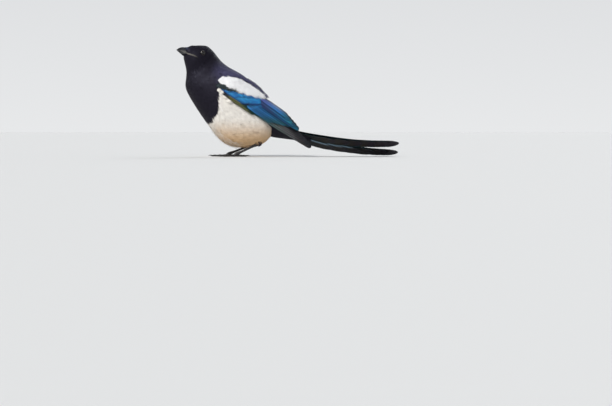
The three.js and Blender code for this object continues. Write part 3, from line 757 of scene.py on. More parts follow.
def add_vane(mesh, place, colour, strip, rng, root, tip, width, layer, ramp, rows, lap, lean,
             wear=0.07, sink=1.2, camber=0.35, shaft=0.22, thick=0.16, mirror=False):
    """A feather from root to tip. colour(share, across) is its tint, and lap its tilt and its tip's form."""
    tilt, roundness = lap
    run = np.array(tip) - root
    length = np.hypot(*run)
    share = 1 - (1 - np.linspace(0, 1, rows)[:, None]) ** 1.25
    share[-1] = 1
    d = share * length
    half = vane_half(d, length, width, roundness)
    worn = 1 - wear * rng.uniform(0, 1, (rows, 1)) ** 3 * smoothstep(d / length, 0.3, 0.7)
    u = VANE_COLUMNS[None, :]
    beside = np.abs(u)
    across_mm = u * half * np.where(u < 0, 1 + lean, 1 - lean) * np.where(beside > 0.9, worn, 1)
    sweep = SWEEP * np.abs(across_mm) * smoothstep(d / length, 0.02, 0.2)
    d_at = np.clip(d + sweep * np.clip((length - d) / (0.2 * length), 0, 1), 0, length)
    along = root[0] + (run[0] * d_at - run[1] * across_mm) / length
    across = root[1] + (run[1] * d_at + run[0] * across_mm) / length
    risen = np.clip(d / ramp, 0, 1)
    level = layer + u * tilt - camber * u**2 * half / 6
    ripple = 0.05 * np.sin(d / 1.7 + 3 * beside + rng.uniform(0, 6)) * beside
    out = level * risen - sink * (1 - risen) + ripple
    ridge = shaft * (1 - 0.75 * share) * (beside < 0.01)
    rim = (beside > 0.99) | (share > 0.999)
    plump = np.where(rim, 0, thick * (1 - 0.7 * beside**2) / 2)
    heights = (out + ridge + plump, out - ridge * 0.6 - plump)
    points = np.concatenate([place(along, across, height) for height in heights])
    share_at, u_at = np.broadcast_arrays(share, u)
    barbs = np.stack([(d_at + 0.8 * np.abs(across_mm)) / 10, u_at], -1)
    strip_at, strips = strip
    bake = np.stack([(strip_at + 0.5 + 0.46 * u_at) / strips, 0.02 + 0.96 * share_at], -1)
    triangles = vane_triangles(rows, len(VANE_COLUMNS))
    if mirror:
        triangles = triangles[:, ::-1]
    looks = (np.concatenate([values] * 2) for values in (colour(share_at, u_at), barbs, bake))
    mesh.add(points, triangles, *looks)


def vane_triangles(rows, columns):
    """The upper and the under side of a vane, and the wall between them."""
    size = rows * columns
    faces = grid_triangles(rows, columns)
    c, r = np.arange(columns - 1), np.arange(rows - 1) * columns
    bottom, right = size - columns, columns - 1
    starts = np.concatenate([c + 1, bottom + c, r, r + columns + right])
    ends = np.concatenate([c, bottom + c + 1, r + columns, r + right])
    walls = [np.stack([starts, ends, ends + size], -1), np.stack([starts, ends + size, starts + size], -1)]
    return np.concatenate([faces, faces[:, ::-1] + size, *walls])


def vane_half(d, length, width, roundness):
    taper = 0.5 + 0.5 * smoothstep(d, 0, length * 0.45)
    in_tip = np.clip(1 - (length - d) / (width * roundness), 0, 1)
    return width / 2 * taper * np.sqrt(np.clip(1 - in_tip**2.2, 0, 1))


# Colours of the flight feathers
AZURE = np.array([0.020, 0.18, 0.46])
SKY = np.array([0.040, 0.30, 0.60])
COBALT = np.array([0.018, 0.075, 0.30])
VIOLET = np.array([0.085, 0.125, 0.40])
TEAL = np.array([0.015, 0.14, 0.20])
BOTTLE = np.array([0.010, 0.035, 0.026])
OLIVE = np.array([0.25, 0.22, 0.05])
SOOT = np.array([0.016, 0.014, 0.016])
BROWN = np.array([0.060, 0.040, 0.028])
PALE = np.array([0.42, 0.42, 0.42])
BRONZE = np.array([0.045, 0.030, 0.010])
PURPLE = np.array([0.028, 0.010, 0.032])
SNOW = np.array([0.86, 0.86, 0.87])
# A pale blue-white painted highlight on the tail: the sky's reflection on the glossy vane, painted into the
# colour
PAINTED_GLEAM = np.array([0.30, 0.45, 0.58])


def shaded(colour, *which, factors=1.0):
    """A feather's colour at a share of its length and a place across it, darker at the shaft, which is its own
    colour, and darker towards the base, which is painted shade where the feathers above cover it.
    """

    def tint(share, across):
        shaft = smoothstep(-np.abs(across), -0.1, -0.02)
        base = mix(colour(share, across, *which), SOOT, shaft * 0.75)
        # Painted shade: the base darker where the feathers above cover it
        return base * (0.55 + 0.45 * smoothstep(share, 0, 0.35))[..., None] * factors

    return tint


def primary(share, across, order):
    web = mix(mix(BOTTLE, SOOT, smoothstep(share, 0.4, 0.7)), TEAL, 0.3 * smoothstep(-share, -0.5, -0.2))
    rim = mix(PALE, BROWN * 1.6, smoothstep(share, 0.7, 0.92))
    return mix(web, rim, smoothstep(-across, 0.8, 0.88) * (0.8 if order % 2 else 0.1))


def secondary(share, across, order):
    web = mix(AZURE, TEAL, smoothstep(share, 0.5, 0.85))
    web = mix(web, SOOT, smoothstep(across, -0.35, 0.1))
    return mix(web, SOOT, (0.95 if order % 2 else 0.2) * smoothstep(-across, 0.6, 0.75))


def tertial(share, across, order):
    web = mix(mix(VIOLET, AZURE, smoothstep(share, 0.2, 0.7)), TEAL, smoothstep(share, 0.7, 1))
    rim = mix(web, BOTTLE * 0.7, smoothstep(np.abs(across), 0.68, 0.86))
    return mix(rim, SOOT, 0.6 * smoothstep(across, 0.1, 0.5))


def covert(share, across, order):
    web = mix(SKY, AZURE, smoothstep(share, 0.35, 0.9))
    web = mix(web, COBALT * 0.5, 0.85 * smoothstep(-across, -0.1, 0.45))
    web = mix(web, SOOT, 0.75 * smoothstep(-across, 0.8, 0.95))
    return mix(web, SOOT, 0.7 * smoothstep(share, 0.955, 1))


def bend(share, across, order):
    web = mix(SOOT, BOTTLE, smoothstep(share, 0.2, 0.8))
    edge = smoothstep(-across, 0.72, 0.86) * smoothstep(share, 0.15, 0.4)
    return mix(web, OLIVE, (0.85 if order % 3 else 0.2) * edge)


def rectrix(share, across, has_painted_gleam):
    web = mix(mix(BOTTLE, BRONZE, smoothstep(share, 0.55, 0.82)), PURPLE, smoothstep(share, 0.84, 0.95))
    web = mix(web, SOOT * 0.5, 0.75)
    web = mix(web, TEAL * 0.4, 0.6 * smoothstep(np.abs(across), 0.85, 1))
    # Painted highlight line along one web, fading out towards the tip
    line = smoothstep(-across, 0.56, 0.7) * smoothstep(-share, -0.9, -0.78)
    return mix(web, PAINTED_GLEAM, (0.6 if has_painted_gleam else 0) * line)


# Tiers of the wing's vanes, from the lowest to the highest: colour, how many, height of the layer, how long
# a vane's rise to it is, how vanes lap, mesh rows, and the lowest and the highest vane of the tier.
# A vane is its root along and up the wing, its tip along and up, and its width.
# A lap is a tilt and a tip's roundness.
OVER = (-0.9, 0.9)
UNDER = (0.35, 0.7)
WING_TIERS = [
    (primary, 9, 0.7, 20, OVER, 60, (76, -7, 198, -0.6, 8.5), (76, 4.5, 162, 8.5, 9.5)),
    (bend, 6, 2.1, 14, OVER, 34, (12, -7.6, 84, -8.8, 6), (18, -3.4, 58, -3.4, 6)),
    (secondary, 10, 2.5, 20, OVER, 44, (56, -2.5, 118, -2, 8), (66, 10.5, 152, 11, 9.5)),
    (tertial, 5, 4.0, 20, OVER, 44, (74, 11, 163, 11.2, 8.5), (64, 19.5, 136, 17.5, 10)),
    (covert, 13, 3.0, 10, UNDER, 34, (28, -3, 60, -3, 6.5), (62, 16, 93, 16, 9)),
    (covert, 13, 3.3, 9, UNDER, 28, (16, -2.5, 42, -3, 5.5), (50, 15.5, 78, 17, 8)),
    (covert, 12, 3.6, 8, UNDER, 24, (8, -2, 27, -2.4, 5), (40, 12.5, 62, 14, 7)),
]
VANE_LEAN = -0.12  # by what share a wing vane's outer web is the narrower one


def make_wing(name, material):
    side = SIDES[name]
    rng = draws("wing", side > 0)
    mesh = Mesh()
    strips = sum(tier[1] for tier in WING_TIERS)
    strip = 0
    for colour, count, layer, ramp, lap, rows, first, last in WING_TIERS:
        for order in range(count):
            vane = mix(first, last, order / (count - 1))
            lifted = layer + rng.uniform(-0.05, 0.05)
            tip = vane[2:4] + [rng.uniform(-1.5, 1.5), rng.uniform(-0.3, 0.3)]
            lightness = rng.uniform(0.7, 1.2)
            hue = np.array([1, rng.uniform(0.88, 1.1), 1])
            tint = shaded(colour, order, factors=lightness * hue)
            add_vane(mesh, wing_place(side), tint, (strip, strips), rng, vane[:2], tip, vane[4],
                     lifted, ramp, rows, lap, VANE_LEAN, mirror=side > 0)
            strip += 1
    mesh.piece(f"wing_flight_{name}", material, "blue_plumage", 60, [f"wing_{name}"])


def make_wing_base(name, material):
    """The wing's fleshy part below its feathers."""
    side = SIDES[name]
    rows, columns, depth = 40, 24, 3.5
    along, share = np.meshgrid(
        np.linspace(WING_CORE[0][0], WING_CORE[-1][0], rows), np.linspace(0, 1, columns), indexing="ij"
    )
    bottom, top = read(WING_CORE, along)
    up = bottom + (top - bottom) * share
    swell = smoothstep(along, 4, 28) * (1 - smoothstep(along, 40, 95))
    rise = 2.9 * swell - 1.4 * (2 * share - 1) ** 4 - 0.6 - 3 * (1 - smoothstep(along, 2, 14))
    place = wing_place(side)
    ring = np.concatenate([place(along, up, rise), place(along, up, rise - depth)[:, ::-1]], 1)
    if side > 0:
        ring = ring[:, ::-1]
    mesh = Mesh()
    add_loft(mesh, ring, SOOT * 1.2, even_places(rows, 2 * columns)[..., ::-1])
    mesh.piece(f"wing_base_{name}", material, "blue_plumage", 80)


# Loose-webbed feathers on the wing: white scapulars, the dark small coverts, and the mantle's edge over them
# along, up of the patch's lower and upper edge
SCAPULARS = [(0, 5.5, 16.5), (10, 5.5, 21.5), (25, 9, 26), (45, 14.5, 27), (58, 18.5, 26.5), (67, 22, 25.5)]
SMALL_COVERTS = [(2, -3, 2), (10, -2.5, 3.5), (22, 1, 7), (34, 6.5, 10.5), (46, 11.5, 13)]
MANTLE_EDGE = [(-2, 19, 25), (15, 26, 31), (40, 30, 34.5), (56, 28.5, 32.5), (68, 26.2, 29.5), (74, 25, 27.5)]
FLANK_EDGE = [(5, -8, -1), (12, -9.5, -5.5), (20, -11.5, -9), (32, -14.5, -12)]
PATCHES = {
    # patch, area for each feather, length, width, rise at the lower and upper edge, strands, colour, look
    "scapulars": (SCAPULARS, 7.0, 19, 10, (4.6, 3.6), 19, SNOW, "pale"),
    "small_coverts": (SMALL_COVERTS, 3.0, 8, 5, (4.1, 4.1), 11, (BOTTLE + SOOT) / 2, "dark"),
    # The mantle's edge carries the mantle colour, partly painted sheen
    "mantle_edge": (MANTLE_EDGE, 7.5, 16, 8, (3.9, 2.6), 15, MANTLE, "dark"),
    "flank_edge": (FLANK_EDGE, 6.0, 12, 6, (0.4, 2.6), 13, WHITE, "pale"),
}


def make_patches(name, looks):
    side = SIDES[name]
    for number, (title, row) in enumerate(PATCHES.items()):
        patch, spacing, length, width, rises, strands, colour, kind = row
        rng = draws("patches", number * 2 + (side > 0))

        def crowding(along, share):
            bottom, top = read(patch, along)
            return (top - bottom) / spacing

        along, share = spread_over(crowding, (patch[0][0], patch[-1][0]), (0, 1), rng)
        bottom, top = read(patch, along)
        up = bottom + (top - bottom) * share
        count = len(along)
        vary = rng.normal(1, 0.08, count)
        grow = 0.7 + 0.4 * smoothstep(along, 0, 60)
        rise = rises[0] + (rises[1] - rises[0]) * share + rng.normal(0, 0.08, count)
        sizes = {
            "length": length * vary * grow, "width": width * vary * (0.8 + 0.2 * grow),
            "rise": rise * (0.4 + 0.6 * smoothstep(along, 0, 16)),
            # painted shade at the covered roots, lighter tips
            "strands": strands, "mottle": 0.04, "painted_root_shade": (0.88, 0.98, 1.03),
        }
        tint = colour * rng.normal(1, 0.03, (count, 1))
        bake = np.stack([along / 220 + 0.05, up / 80 + 0.3], -1)
        make_fans(f"{title}_{name}", looks[kind], wing_place(side), along, up, sizes, tint, bake, rng,
                  flip=-side, heading=rng.normal(0, 0.04, count))


# Tail
def make_tail(material):
    rng = draws("tail")
    mesh = Mesh()
    strips = 2 * len(TAIL_FEATHERS)
    for pair, (length, width, lean, inner) in enumerate(TAIL_FEATHERS):
        for side in SIDES.values():
            strip = 2 * pair + (side > 0)
            root, tip = (TAIL_START[0], side * TAIL_START[1]), (length, side * lean)
            layer = TAIL_TOP - TAIL_LAYER * strip
            # The outer three pairs on the right carry the painted highlight line
            tint = shaded(rectrix, pair > 2 and side > 0)
            add_vane(mesh, tail_place, tint, (strip, strips), rng, root, tip, width, layer, TAIL_RAMP, 90,
                     TAIL_LAP, inner * side, **TAIL_VANE)
    mesh.piece("tail_feathers", material, "tail_plumage", 60, ["tail"])


def make_tail_coverts(material):
    rng = draws("rump")
    count = 560
    uv = spread_points(count, rng)
    sizes = {
        "length": rng.normal(20, 2, count), "width": rng.normal(9, 0.8, count),
        "rise": np.full(count, 0.9), "strands": 9, "mottle": 0.08,
    }
    mesh = Mesh()
    tint = np.tile(BLACK * 1.1, (count, 1))
    bake = np.stack([uv[:, 1], uv[:, 0] * 0.9 + 0.05], -1)
    add_fans(mesh, rump_place, 2 + 62 * uv[:, 0], uv[:, 1] * FULL_TURN, sizes, tint, bake, rng)
    along, around = ring_grid(np.linspace(TAIL_COVERTS[0][0], TAIL_COVERTS[-1][0], 40), 40)
    core_places = np.stack([around / 7, (along + 10) / 120], -1)
    add_loft(mesh, rump_place(along, around, -COAT_DEPTH), BLACK, core_places)
    mesh.piece("tail_coverts", material, "tail_plumage")


# Eyes
PUPIL = math.radians(24)
IRIS = math.radians(50)
PUPIL_BLACK = np.array([0.002, 0.002, 0.002])
EYE_BROWN = np.array([0.012, 0.0055, 0.003])
EYE_RIM = np.array([0.006, 0.005, 0.005])
LID_RIM = math.radians(49)  # how far from the middle of the eye the lids' rim is
LID_OUTER = math.radians(96)
LID_TINT = np.array([0.014, 0.013, 0.015])


def eye_look(side):
    return swung(unit(np.array([EYE_LOOK[0], side * EYE_LOOK[1], EYE_LOOK[2]])), HEAD_TURN)


def eye_dome(side, angle, turn, radius):
    """Points on a ball round an eye's middle: angle from where it looks, turn round that."""
    look = eye_look(side)
    level = unit(np.cross([0, 0, 1.0], look))
    ring = np.cos(turn)[..., None] * level + np.sin(turn)[..., None] * np.cross(look, level)
    outwards = np.cos(angle)[..., None] * look + np.sin(angle)[..., None] * ring
    return eye_centre(side) + radius[..., None] * outwards


def make_eye(name, material):
    angle, turn = ring_grid(np.linspace(0.02, math.pi * 0.85, 48), 64)
    points = eye_dome(SIDES[name], angle, turn, EYE_RADIUS + 0.25 * (1 - smoothstep(angle, 0, IRIS)))
    fibres = 0.85 + 0.3 * np.sin(turn * 23 + 2 * np.sin(turn * 5)) ** 2
    tint = mix(PUPIL_BLACK, EYE_BROWN * fibres[..., None], smoothstep(angle, PUPIL - 0.03, PUPIL + 0.03))
    tint = mix(tint, EYE_RIM, smoothstep(angle, IRIS - 0.06, IRIS))
    mesh = Mesh()
    add_loft(mesh, points[:, ::-1], tint[:, ::-1], np.stack([turn / 6.4, angle / 3], -1))
    mesh.piece(f"eyeball_{name}", material, "eye", 180, [f"eye_{name}"])


def make_lids(name, material):
    """A fold of bare skin round the eye, a little longer than high, with a beaded rim."""
    side = SIDES[name]
    share, turn = ring_grid(np.linspace(0, 1, 22), 96)
    almond = 1 + 0.07 * np.cos(2 * turn) - 0.05 * np.sin(turn) ** 3
    angle = (LID_RIM + (LID_OUTER - LID_RIM) * share) * almond
    on_rim = np.exp(-(((share - 0.07) / 0.06) ** 2))
    bead = 0.42 * on_rim * (1 + 0.25 * np.sin(turn * 30) ** 2)
    fold = 0.16 * np.sin(share * 34) * smoothstep(share, 0.12, 0.3)
    outer = eye_dome(side, angle, turn, EYE_RADIUS + 0.22 + bead + fold + 0.9 * share)
    inner = eye_dome(side, angle[::-1], turn, EYE_RADIUS + 0.05 - 0.6 * share[::-1])
    tint = LID_TINT + 0.03 * on_rim[..., None]
    ring = np.concatenate([outer, inner, outer[:1]])
    tint = np.concatenate([tint, tint[::-1], tint[:1]])
    rows = [ring, tint, even_places(*ring.shape[:2])]
    if side < 0:
        rows = [row[::-1] for row in rows]
    mesh = Mesh()
    add_loft(mesh, *rows, capped=False)
    mesh.piece(f"lids_{name}", material, "leg_skin", 180)


# Bill
BILL_BLACK = np.array([0.012, 0.012, 0.014])
BILL_GREY = np.array([0.02, 0.021, 0.026])
# Pale cutting edge: partly the horn's own worn edge, partly a painted reflection of the sky along the mouth
BILL_WEAR_AND_REFLECTION = np.array([0.24, 0.23, 0.21])
BILL_FLOOR = 9  # points across the flat side that faces the other half


def make_bill(name, table, up, material):
    """One half of the bill: a ridge, a paler cutting edge that is partly the horn's own worn edge and partly a
    painted reflection of the sky, and fine growth lines.
    """
    share, turn = np.meshgrid(np.linspace(0, 1, 70), np.linspace(0, math.pi, 49), indexing="ij")
    back = table[0][0] + (table[-1][0] - table[0][0]) * share**1.3
    ridge = 0.16 * np.exp(-(((turn - math.pi / 2) / 0.16) ** 2)) * smoothstep(back, 3, 10)
    lines = 0.03 * np.sin(back * 2.6 + 0.6 * np.sin(turn * 2)) * smoothstep(back, 4, 12)
    points = bill_place(table, up)(back, turn, ridge + lines - 0.02)
    # Paler along the cutting edges: partly worn horn, partly painted reflection
    edge = np.exp(-((np.sin(turn) * 4.5) ** 2)) * smoothstep(back, 3, 14)
    tint = mix(mix(BILL_BLACK, BILL_GREY, smoothstep(back, 2, 14)), BILL_WEAR_AND_REFLECTION, 0.7 * edge)
    places = np.stack([turn / 3.3 + 0.01, share * 0.9 + 0.05], -1)
    first, last = points[:, :1], points[:, -1:]
    floor = 0.5 * (first + last) + (first - last) * np.linspace(-0.42, 0.42, BILL_FLOOR)[:, None]
    rows = [
        np.concatenate([points, floor], 1),
        np.concatenate([tint, np.repeat(tint[:, :1], BILL_FLOOR, 1)], 1),
        np.concatenate([places, np.repeat(places[:, -1:], BILL_FLOOR, 1)], 1),
    ]
    if up > 0:
        rows = [row[:, ::-1] for row in rows]
    mesh = Mesh()
    add_loft(mesh, *rows)
    mesh.piece(f"horn_{name}", material, "horn", 50, [f"bill_{name}"])


# Bristles, by degrees from the bill's ridge: how far from its tip they end, and where they leave the head
BRISTLE_REACH = [(0, 13.5), (40, 14.5), (85, 16), (96, 17.5), (106, 17.5), (125, 15), (180, 10.5)]
BRISTLE_EDGE = [(0, 19.5), (110, 19.5), (150, 17), (180, 16)]
# Blue-grey painted sheen of the sky on the bristles over the top of the bill's root
BRISTLE_PAINTED_SHEEN = np.array([0.045, 0.055, 0.090])
MOUTH_DEGREES = 101
BRISTLES = 1900


def make_bristles(look):
    """Stiff feathers that lie forward over the bill's root and the nostrils, and softer ones on the chin."""
    rng = draws("bristles")
    around = (spread_points(BRISTLES, rng)[:, 0] * 2 - 1) * math.pi
    down = np.degrees(np.abs(around))
    clear = np.abs(down - MOUTH_DEGREES) > 4
    around, down = around[clear], down[clear]
    count = len(around)
    reach = (read(BRISTLE_REACH, down)[0] + np.abs(rng.normal(0, 1.1, count)))[:, None]
    rung = rng.uniform(0.4, 2.4, count)[:, None] * np.array([1, 0.45, -0.02])
    on_head = body_place(rung, around[:, None] + 0 * rung, np.array([-0.6, 0.75, 0.7]))
    t = np.array([0.25, 0.65, 1])
    edge = read(BRISTLE_EDGE, down)[0][:, None]
    back = edge + (reach - edge) * t
    out = rng.uniform(0.5, 0.9, count)[:, None] * (1 - 0.75 * t)
    quarter = np.sign(around) * math.pi / 2
    above = math.pi / 2 - quarter * down / MOUTH_DEGREES
    below = math.pi / 2 - quarter * (180 - down) / (180 - MOUTH_DEGREES)
    on_upper = bill_place(UPPER_BILL, 1)(back, above[:, None] + 0 * back, out)
    on_lower = bill_place(LOWER_BILL, -1)(back, below[:, None] + 0 * back, out)
    on_bill = np.where((down < MOUTH_DEGREES)[:, None, None], on_upper, on_lower)
    spine = np.concatenate([on_head, on_bill], 1)
    facing = swung(np.stack([np.zeros(count), np.sin(around), np.cos(around)], -1), HEAD_TURN)
    half = np.full((count, 1), 0.26) * np.array([1, 1, 1, 0.85, 0.6, 0])
    thick = np.full((count, 1), 0.12) * np.array([1, 1, 1, 0.8, 0.5, 0])
    # Bristles on top get the painted sky sheen towards their tips, black at their roots
    painted_sheen = mix(BLACK, BRISTLE_PAINTED_SHEEN, smoothstep(-down, -80, -40))
    tints = mix(BLACK, painted_sheen[:, None], [[0, 0, 0.1, 0.5, 1, 1]]) * rng.uniform(0.6, 1.5, (count, 1, 1))
    mesh = Mesh()
    add_locks(mesh, spine, np.broadcast_to(facing[:, None], spine.shape), half, thick, tints,
              body_unwrap(np.full(count, 1.0), around))
    mesh.piece("bristles", *look)


# The bare lips that carry the line of the mouth back from the bill to below the eye
LIP_START = 14
LIP_END = 35
LIP_DROOP = 4.6  # how much lower than the bill's own line the corner of the mouth is
LIP_STEPS = 40
LIP_PALE = np.array([0.14, 0.13, 0.118])
LIP_DARK = np.array([0.035, 0.033, 0.034])


def mouth_line(side):
    """Places and outward directions along the mouth's line on the head, from the bill back to the corner."""
    back = np.linspace(LIP_START, LIP_END, LIP_STEPS)
    goal_x = BILL_TIP[0] + back * math.cos(BILL_PITCH)
    goal_z = BILL_TIP[1] - back * math.sin(BILL_PITCH) - LIP_DROOP * smoothstep(back, 18, LIP_END + 2)
    grid = np.meshgrid(np.linspace(-1.2, 5, 311), np.radians(np.linspace(60, 140, 241)), indexing="ij")
    x, _, z = np.moveaxis(straight_place(*grid), -1, 0)
    nearest = [np.argmin((x - gx) ** 2 + (z - gz) ** 2) for gx, gz in zip(goal_x, goal_z)]
    rung, around = (np.polyval(np.polyfit(back, values.ravel()[nearest], 3), back) for values in grid)
    on_head = body_place(rung, around * side, 0.75)
    on_bill = bill_place(UPPER_BILL, 1)(back, np.full(LIP_STEPS, 0.0 if side > 0 else math.pi), 0.15)
    return mix(on_bill, on_head, smoothstep(back, 15.5, 19)), directions(body_place, rung, around * side)[2]


def make_lips(name, material):
    spine, out = mouth_line(SIDES[name])
    ahead = unit(np.gradient(spine, axis=0))
    up = unit(np.cross(out, ahead))
    up = up * np.sign(up[:, 2:])
    share, turn = np.linspace(0, 1, LIP_STEPS), circle(14)
    size = (0.66 * smoothstep(share, -0.1, 0.35) * (1 - 0.8 * smoothstep(share, 0.6, 1)))[:, None]
    wrinkle = 0.05 * np.sin(share * 70)[:, None]
    tint = mix(LIP_PALE, LIP_DARK, smoothstep(share, 0.45, 0.95))[:, None]
    mesh = Mesh()
    for level in (1, -1):
        middle = spine + up * (level * (0.12 + size * 0.8)) - out * 0.15
        ring = (
            middle[:, None]
            + up[:, None] * ((size + wrinkle) * np.cos(turn))[..., None]
            + out[:, None] * ((size * 0.9 + wrinkle) * np.sin(turn))[..., None]
        )
        inside_out = np.cross(up[0], out[0]) @ ahead[0] >= 0
        add_loft(mesh, ring[:, ::-1] if inside_out else ring, tint, 0.5)
    mesh.piece(f"lips_{name}", material, "horn", 180)


# Legs and feet
LEG_TINT = np.array([0.020, 0.0185, 0.0195])
CLAW_TINT = np.array([0.012, 0.011, 0.012])
BALL_PAD = (4, 3.7, 3.4)
TOE_PADS = 3
SOLE_INSET = 0.35  # how far the toes are pressed flat


def scutes(distance, size, depth):
    """Plates that overlap like tiles: each rises slowly and drops at its lower edge."""
    return depth * ((distance / size) % 1) ** 1.6


def add_grounded(mesh, rings, tint=LEG_TINT):
    """A form that is flat where it meets the floor."""
    rings[..., 2] = np.maximum(rings[..., 2], 0)
    add_loft(mesh, rings[:, ::-1], tint)


def make_leg(name, material):
    mesh = Mesh()
    heel, ball = np.array(HEEL[name], float), np.array(BALL[name], float)
    share, turn = np.linspace(0, 1, 150)[:, None], circle(40)
    thick, wide = read(TARSUS, share[:, 0])[..., None]
    distance = share * np.linalg.norm(ball - heel)
    front = smoothstep(-np.sin(turn), -0.35, 0.35)
    plates = scutes(distance + 0.5 * np.cos(turn), 3.6, 0.26) * front
    net = 0.07 * np.sin(distance * 3.2) * np.sin(turn * 9) * (1 - front)
    grown = plates + net - 0.1
    add_grounded(mesh, ring_tube(heel + (ball - heel) * share, thick + grown, wide + grown, len(turn)))
    rise, turn = ring_grid(np.linspace(-1.45, 1.45, 24), 36)
    pad = np.stack([np.cos(rise) * np.cos(turn), np.cos(rise) * np.sin(turn), np.sin(rise)], -1) * BALL_PAD
    warts = 1 + 0.02 * np.sin(turn * 12) * np.sin(rise * 14)
    add_grounded(mesh, pad * warts[..., None] + ball - [0, 0, 1.2])
    for degrees, length, size, _ in TOES.values():
        add_toe(mesh, name, degrees, length, size)
    toes = [f"toe_{toe}_{name}" for toe in TOES]
    mesh.piece(f"leg_{name}", material, "leg_skin", 70, [f"tarsus_{name}", *toes])


def toe_path(name, degrees, height):
    """Where a toe starts, at a height, and which way it points."""
    turn = math.radians(degrees) * SIDES[name]
    return np.array([*BALL[name][:2], height - SOLE_INSET]), np.array([-math.cos(turn), math.sin(turn), 0])


def add_toe(mesh, name, degrees, length, thick):
    start, ahead = toe_path(name, degrees, thick)
    t, turn = np.linspace(0, 1, 90)[:, None], circle(32)
    swell = 1 - 0.13 * (0.5 + 0.5 * np.cos(t * TOE_PADS * FULL_TURN))
    blunt = np.sqrt(np.clip(1 - np.clip((t - 0.93) / 0.07, 0, 1) ** 2 * 0.6, 0, 1))
    size = thick * swell * (1 - 0.22 * t) * blunt
    spine = start + ahead * (1 + (length - 1) * t)
    spine[:, 2:] += size - thick
    plates = scutes(t * length, 1.75, 0.17) * smoothstep(np.sin(turn), 0.1, 0.6)
    beads = 0.06 * np.sin(t * length * 5) * np.sin(turn * 8) * smoothstep(-np.sin(turn), 0.2, 0.7)
    grown = size + plates + beads - 0.07
    add_grounded(mesh, ring_tube(spine, grown, grown, len(turn)))


def make_claws(name, material):
    mesh = Mesh()
    t = np.linspace(0, 1, 40)
    for degrees, length, thick, claw_length in TOES.values():
        start, ahead = toe_path(name, degrees, thick * 0.78 * 0.87)
        spine = start + ahead * (length - 0.6 + claw_length * (t - 0.12 * t * t))[:, None]
        spine[:, 2] += 1.9 * np.sin(t * 2.2) - 1.55 * t
        size = thick * 0.6 * (1 - 0.86 * t**1.2)
        add_grounded(mesh, ring_tube(spine, size, size * 0.8, 20), CLAW_TINT)
    mesh.piece(f"claws_{name}", material, "horn", 80, [f"claw_{toe}_{name}" for toe in TOES])


def make_thigh_feathers(look):
    rng = draws("thighs")
    mesh = Mesh()
    count, segments = 260, 64
    for name in SIDES:
        spine = thigh_spine(name)
        share = rng.uniform(0.22, 0.9, count)
        turn = rng.uniform(0, FULL_TURN, count)
        rings = ring_tube(spine, THIGH_SIZES, THIGH_SIZES * THIGH_FLATNESS, segments)
        station = share * (len(spine) - 1)
        i = np.clip(station.astype(int), 0, len(spine) - 2)
        j = (turn / FULL_TURN * segments).astype(int) % segments
        root = mix(rings[i, j], rings[i + 1, j], station - i)
        out = unit(root - mix(spine[i], spine[i + 1], station - i))[:, None]
        down = unit(spine[0] - spine[-1])
        t = np.linspace(0, 1, STATIONS)[None, :, None]
        reach = rng.normal(6, 0.7, count)[:, None, None]
        path = root[:, None] + down * reach * t - out * (0.10 * reach * t**1.3) + out * 0.4
        # The upper thigh feathers take the belly's warm tan: partly stains, partly painted shade and warm
        # reflected light
        tint = mix(BLACK * 2, TAN_STAIN_AND_PAINTED_SHADE, smoothstep(share, 0.25, 0.5))[:, None]
        tints = np.repeat(tint * rng.uniform(0.8, 1.2, (count, 1, 1)), STATIONS, 1)
        half, thick = (np.full((count, 1), size) * form for size, form in ((0.7, LOCK_HALF), (0.2, LOCK_RIDGE)))
        normal = np.broadcast_to(out, path.shape)
        add_locks(mesh, path, normal, half, thick, tints, np.stack([turn / 7, share], -1))
    mesh.piece("thigh_feathers", *look)


# Materials
RELIEF = 0.0002  # metres


def new_material(name):
    material = bpy.data.materials.new(name)
    material.use_nodes = True
    return material, material.node_tree


def feed(tree, node, inputs):
    """Sets a node's inputs. Each is a value, or the output of another node."""
    for key, value in dict(inputs).items():
        if isinstance(value, bpy.types.NodeSocket):
            tree.links.new(value, node.inputs[key])
        else:
            node.inputs[key].default_value = value


def add_node(tree, kind, output, inputs=(), **settings):
    """Adds a node and returns one of its outputs."""
    node = tree.nodes.new("ShaderNode" + kind)
    for key, value in settings.items():
        setattr(node, key, value)
    feed(tree, node, inputs)
    return node.outputs[output]


def mapped(tree, value, low, high, start=0.0, end=1.0):
    inputs = {"Value": value, "From Min": start, "From Max": end, "To Min": low, "To Max": high}
    return add_node(tree, "MapRange", "Result", inputs)


def noise(tree, place, scale, detail, **settings):
    return add_node(tree, "TexNoise", "Fac", {"Vector": place, "Scale": scale, "Detail": detail}, **settings)


def dress(tree, lightness, roughness, height, depth, inputs):
    """Gives the shader the mesh's own colours, with their lightness, roughness and relief from noises."""
    tint = add_node(tree, "VertexColor", "Color", layer_name="tint")
    varied = add_node(tree, "VectorMath", "Vector", {0: tint, "Scale": lightness}, operation="SCALE")
    bump = add_node(tree, "Bump", "Normal", {"Strength": depth, "Distance": RELIEF, "Height": height})
    textures = {"Base Color": varied, "Roughness": roughness, "Normal": bump}
    feed(tree, tree.nodes["Principled BSDF"], {**textures, **inputs})


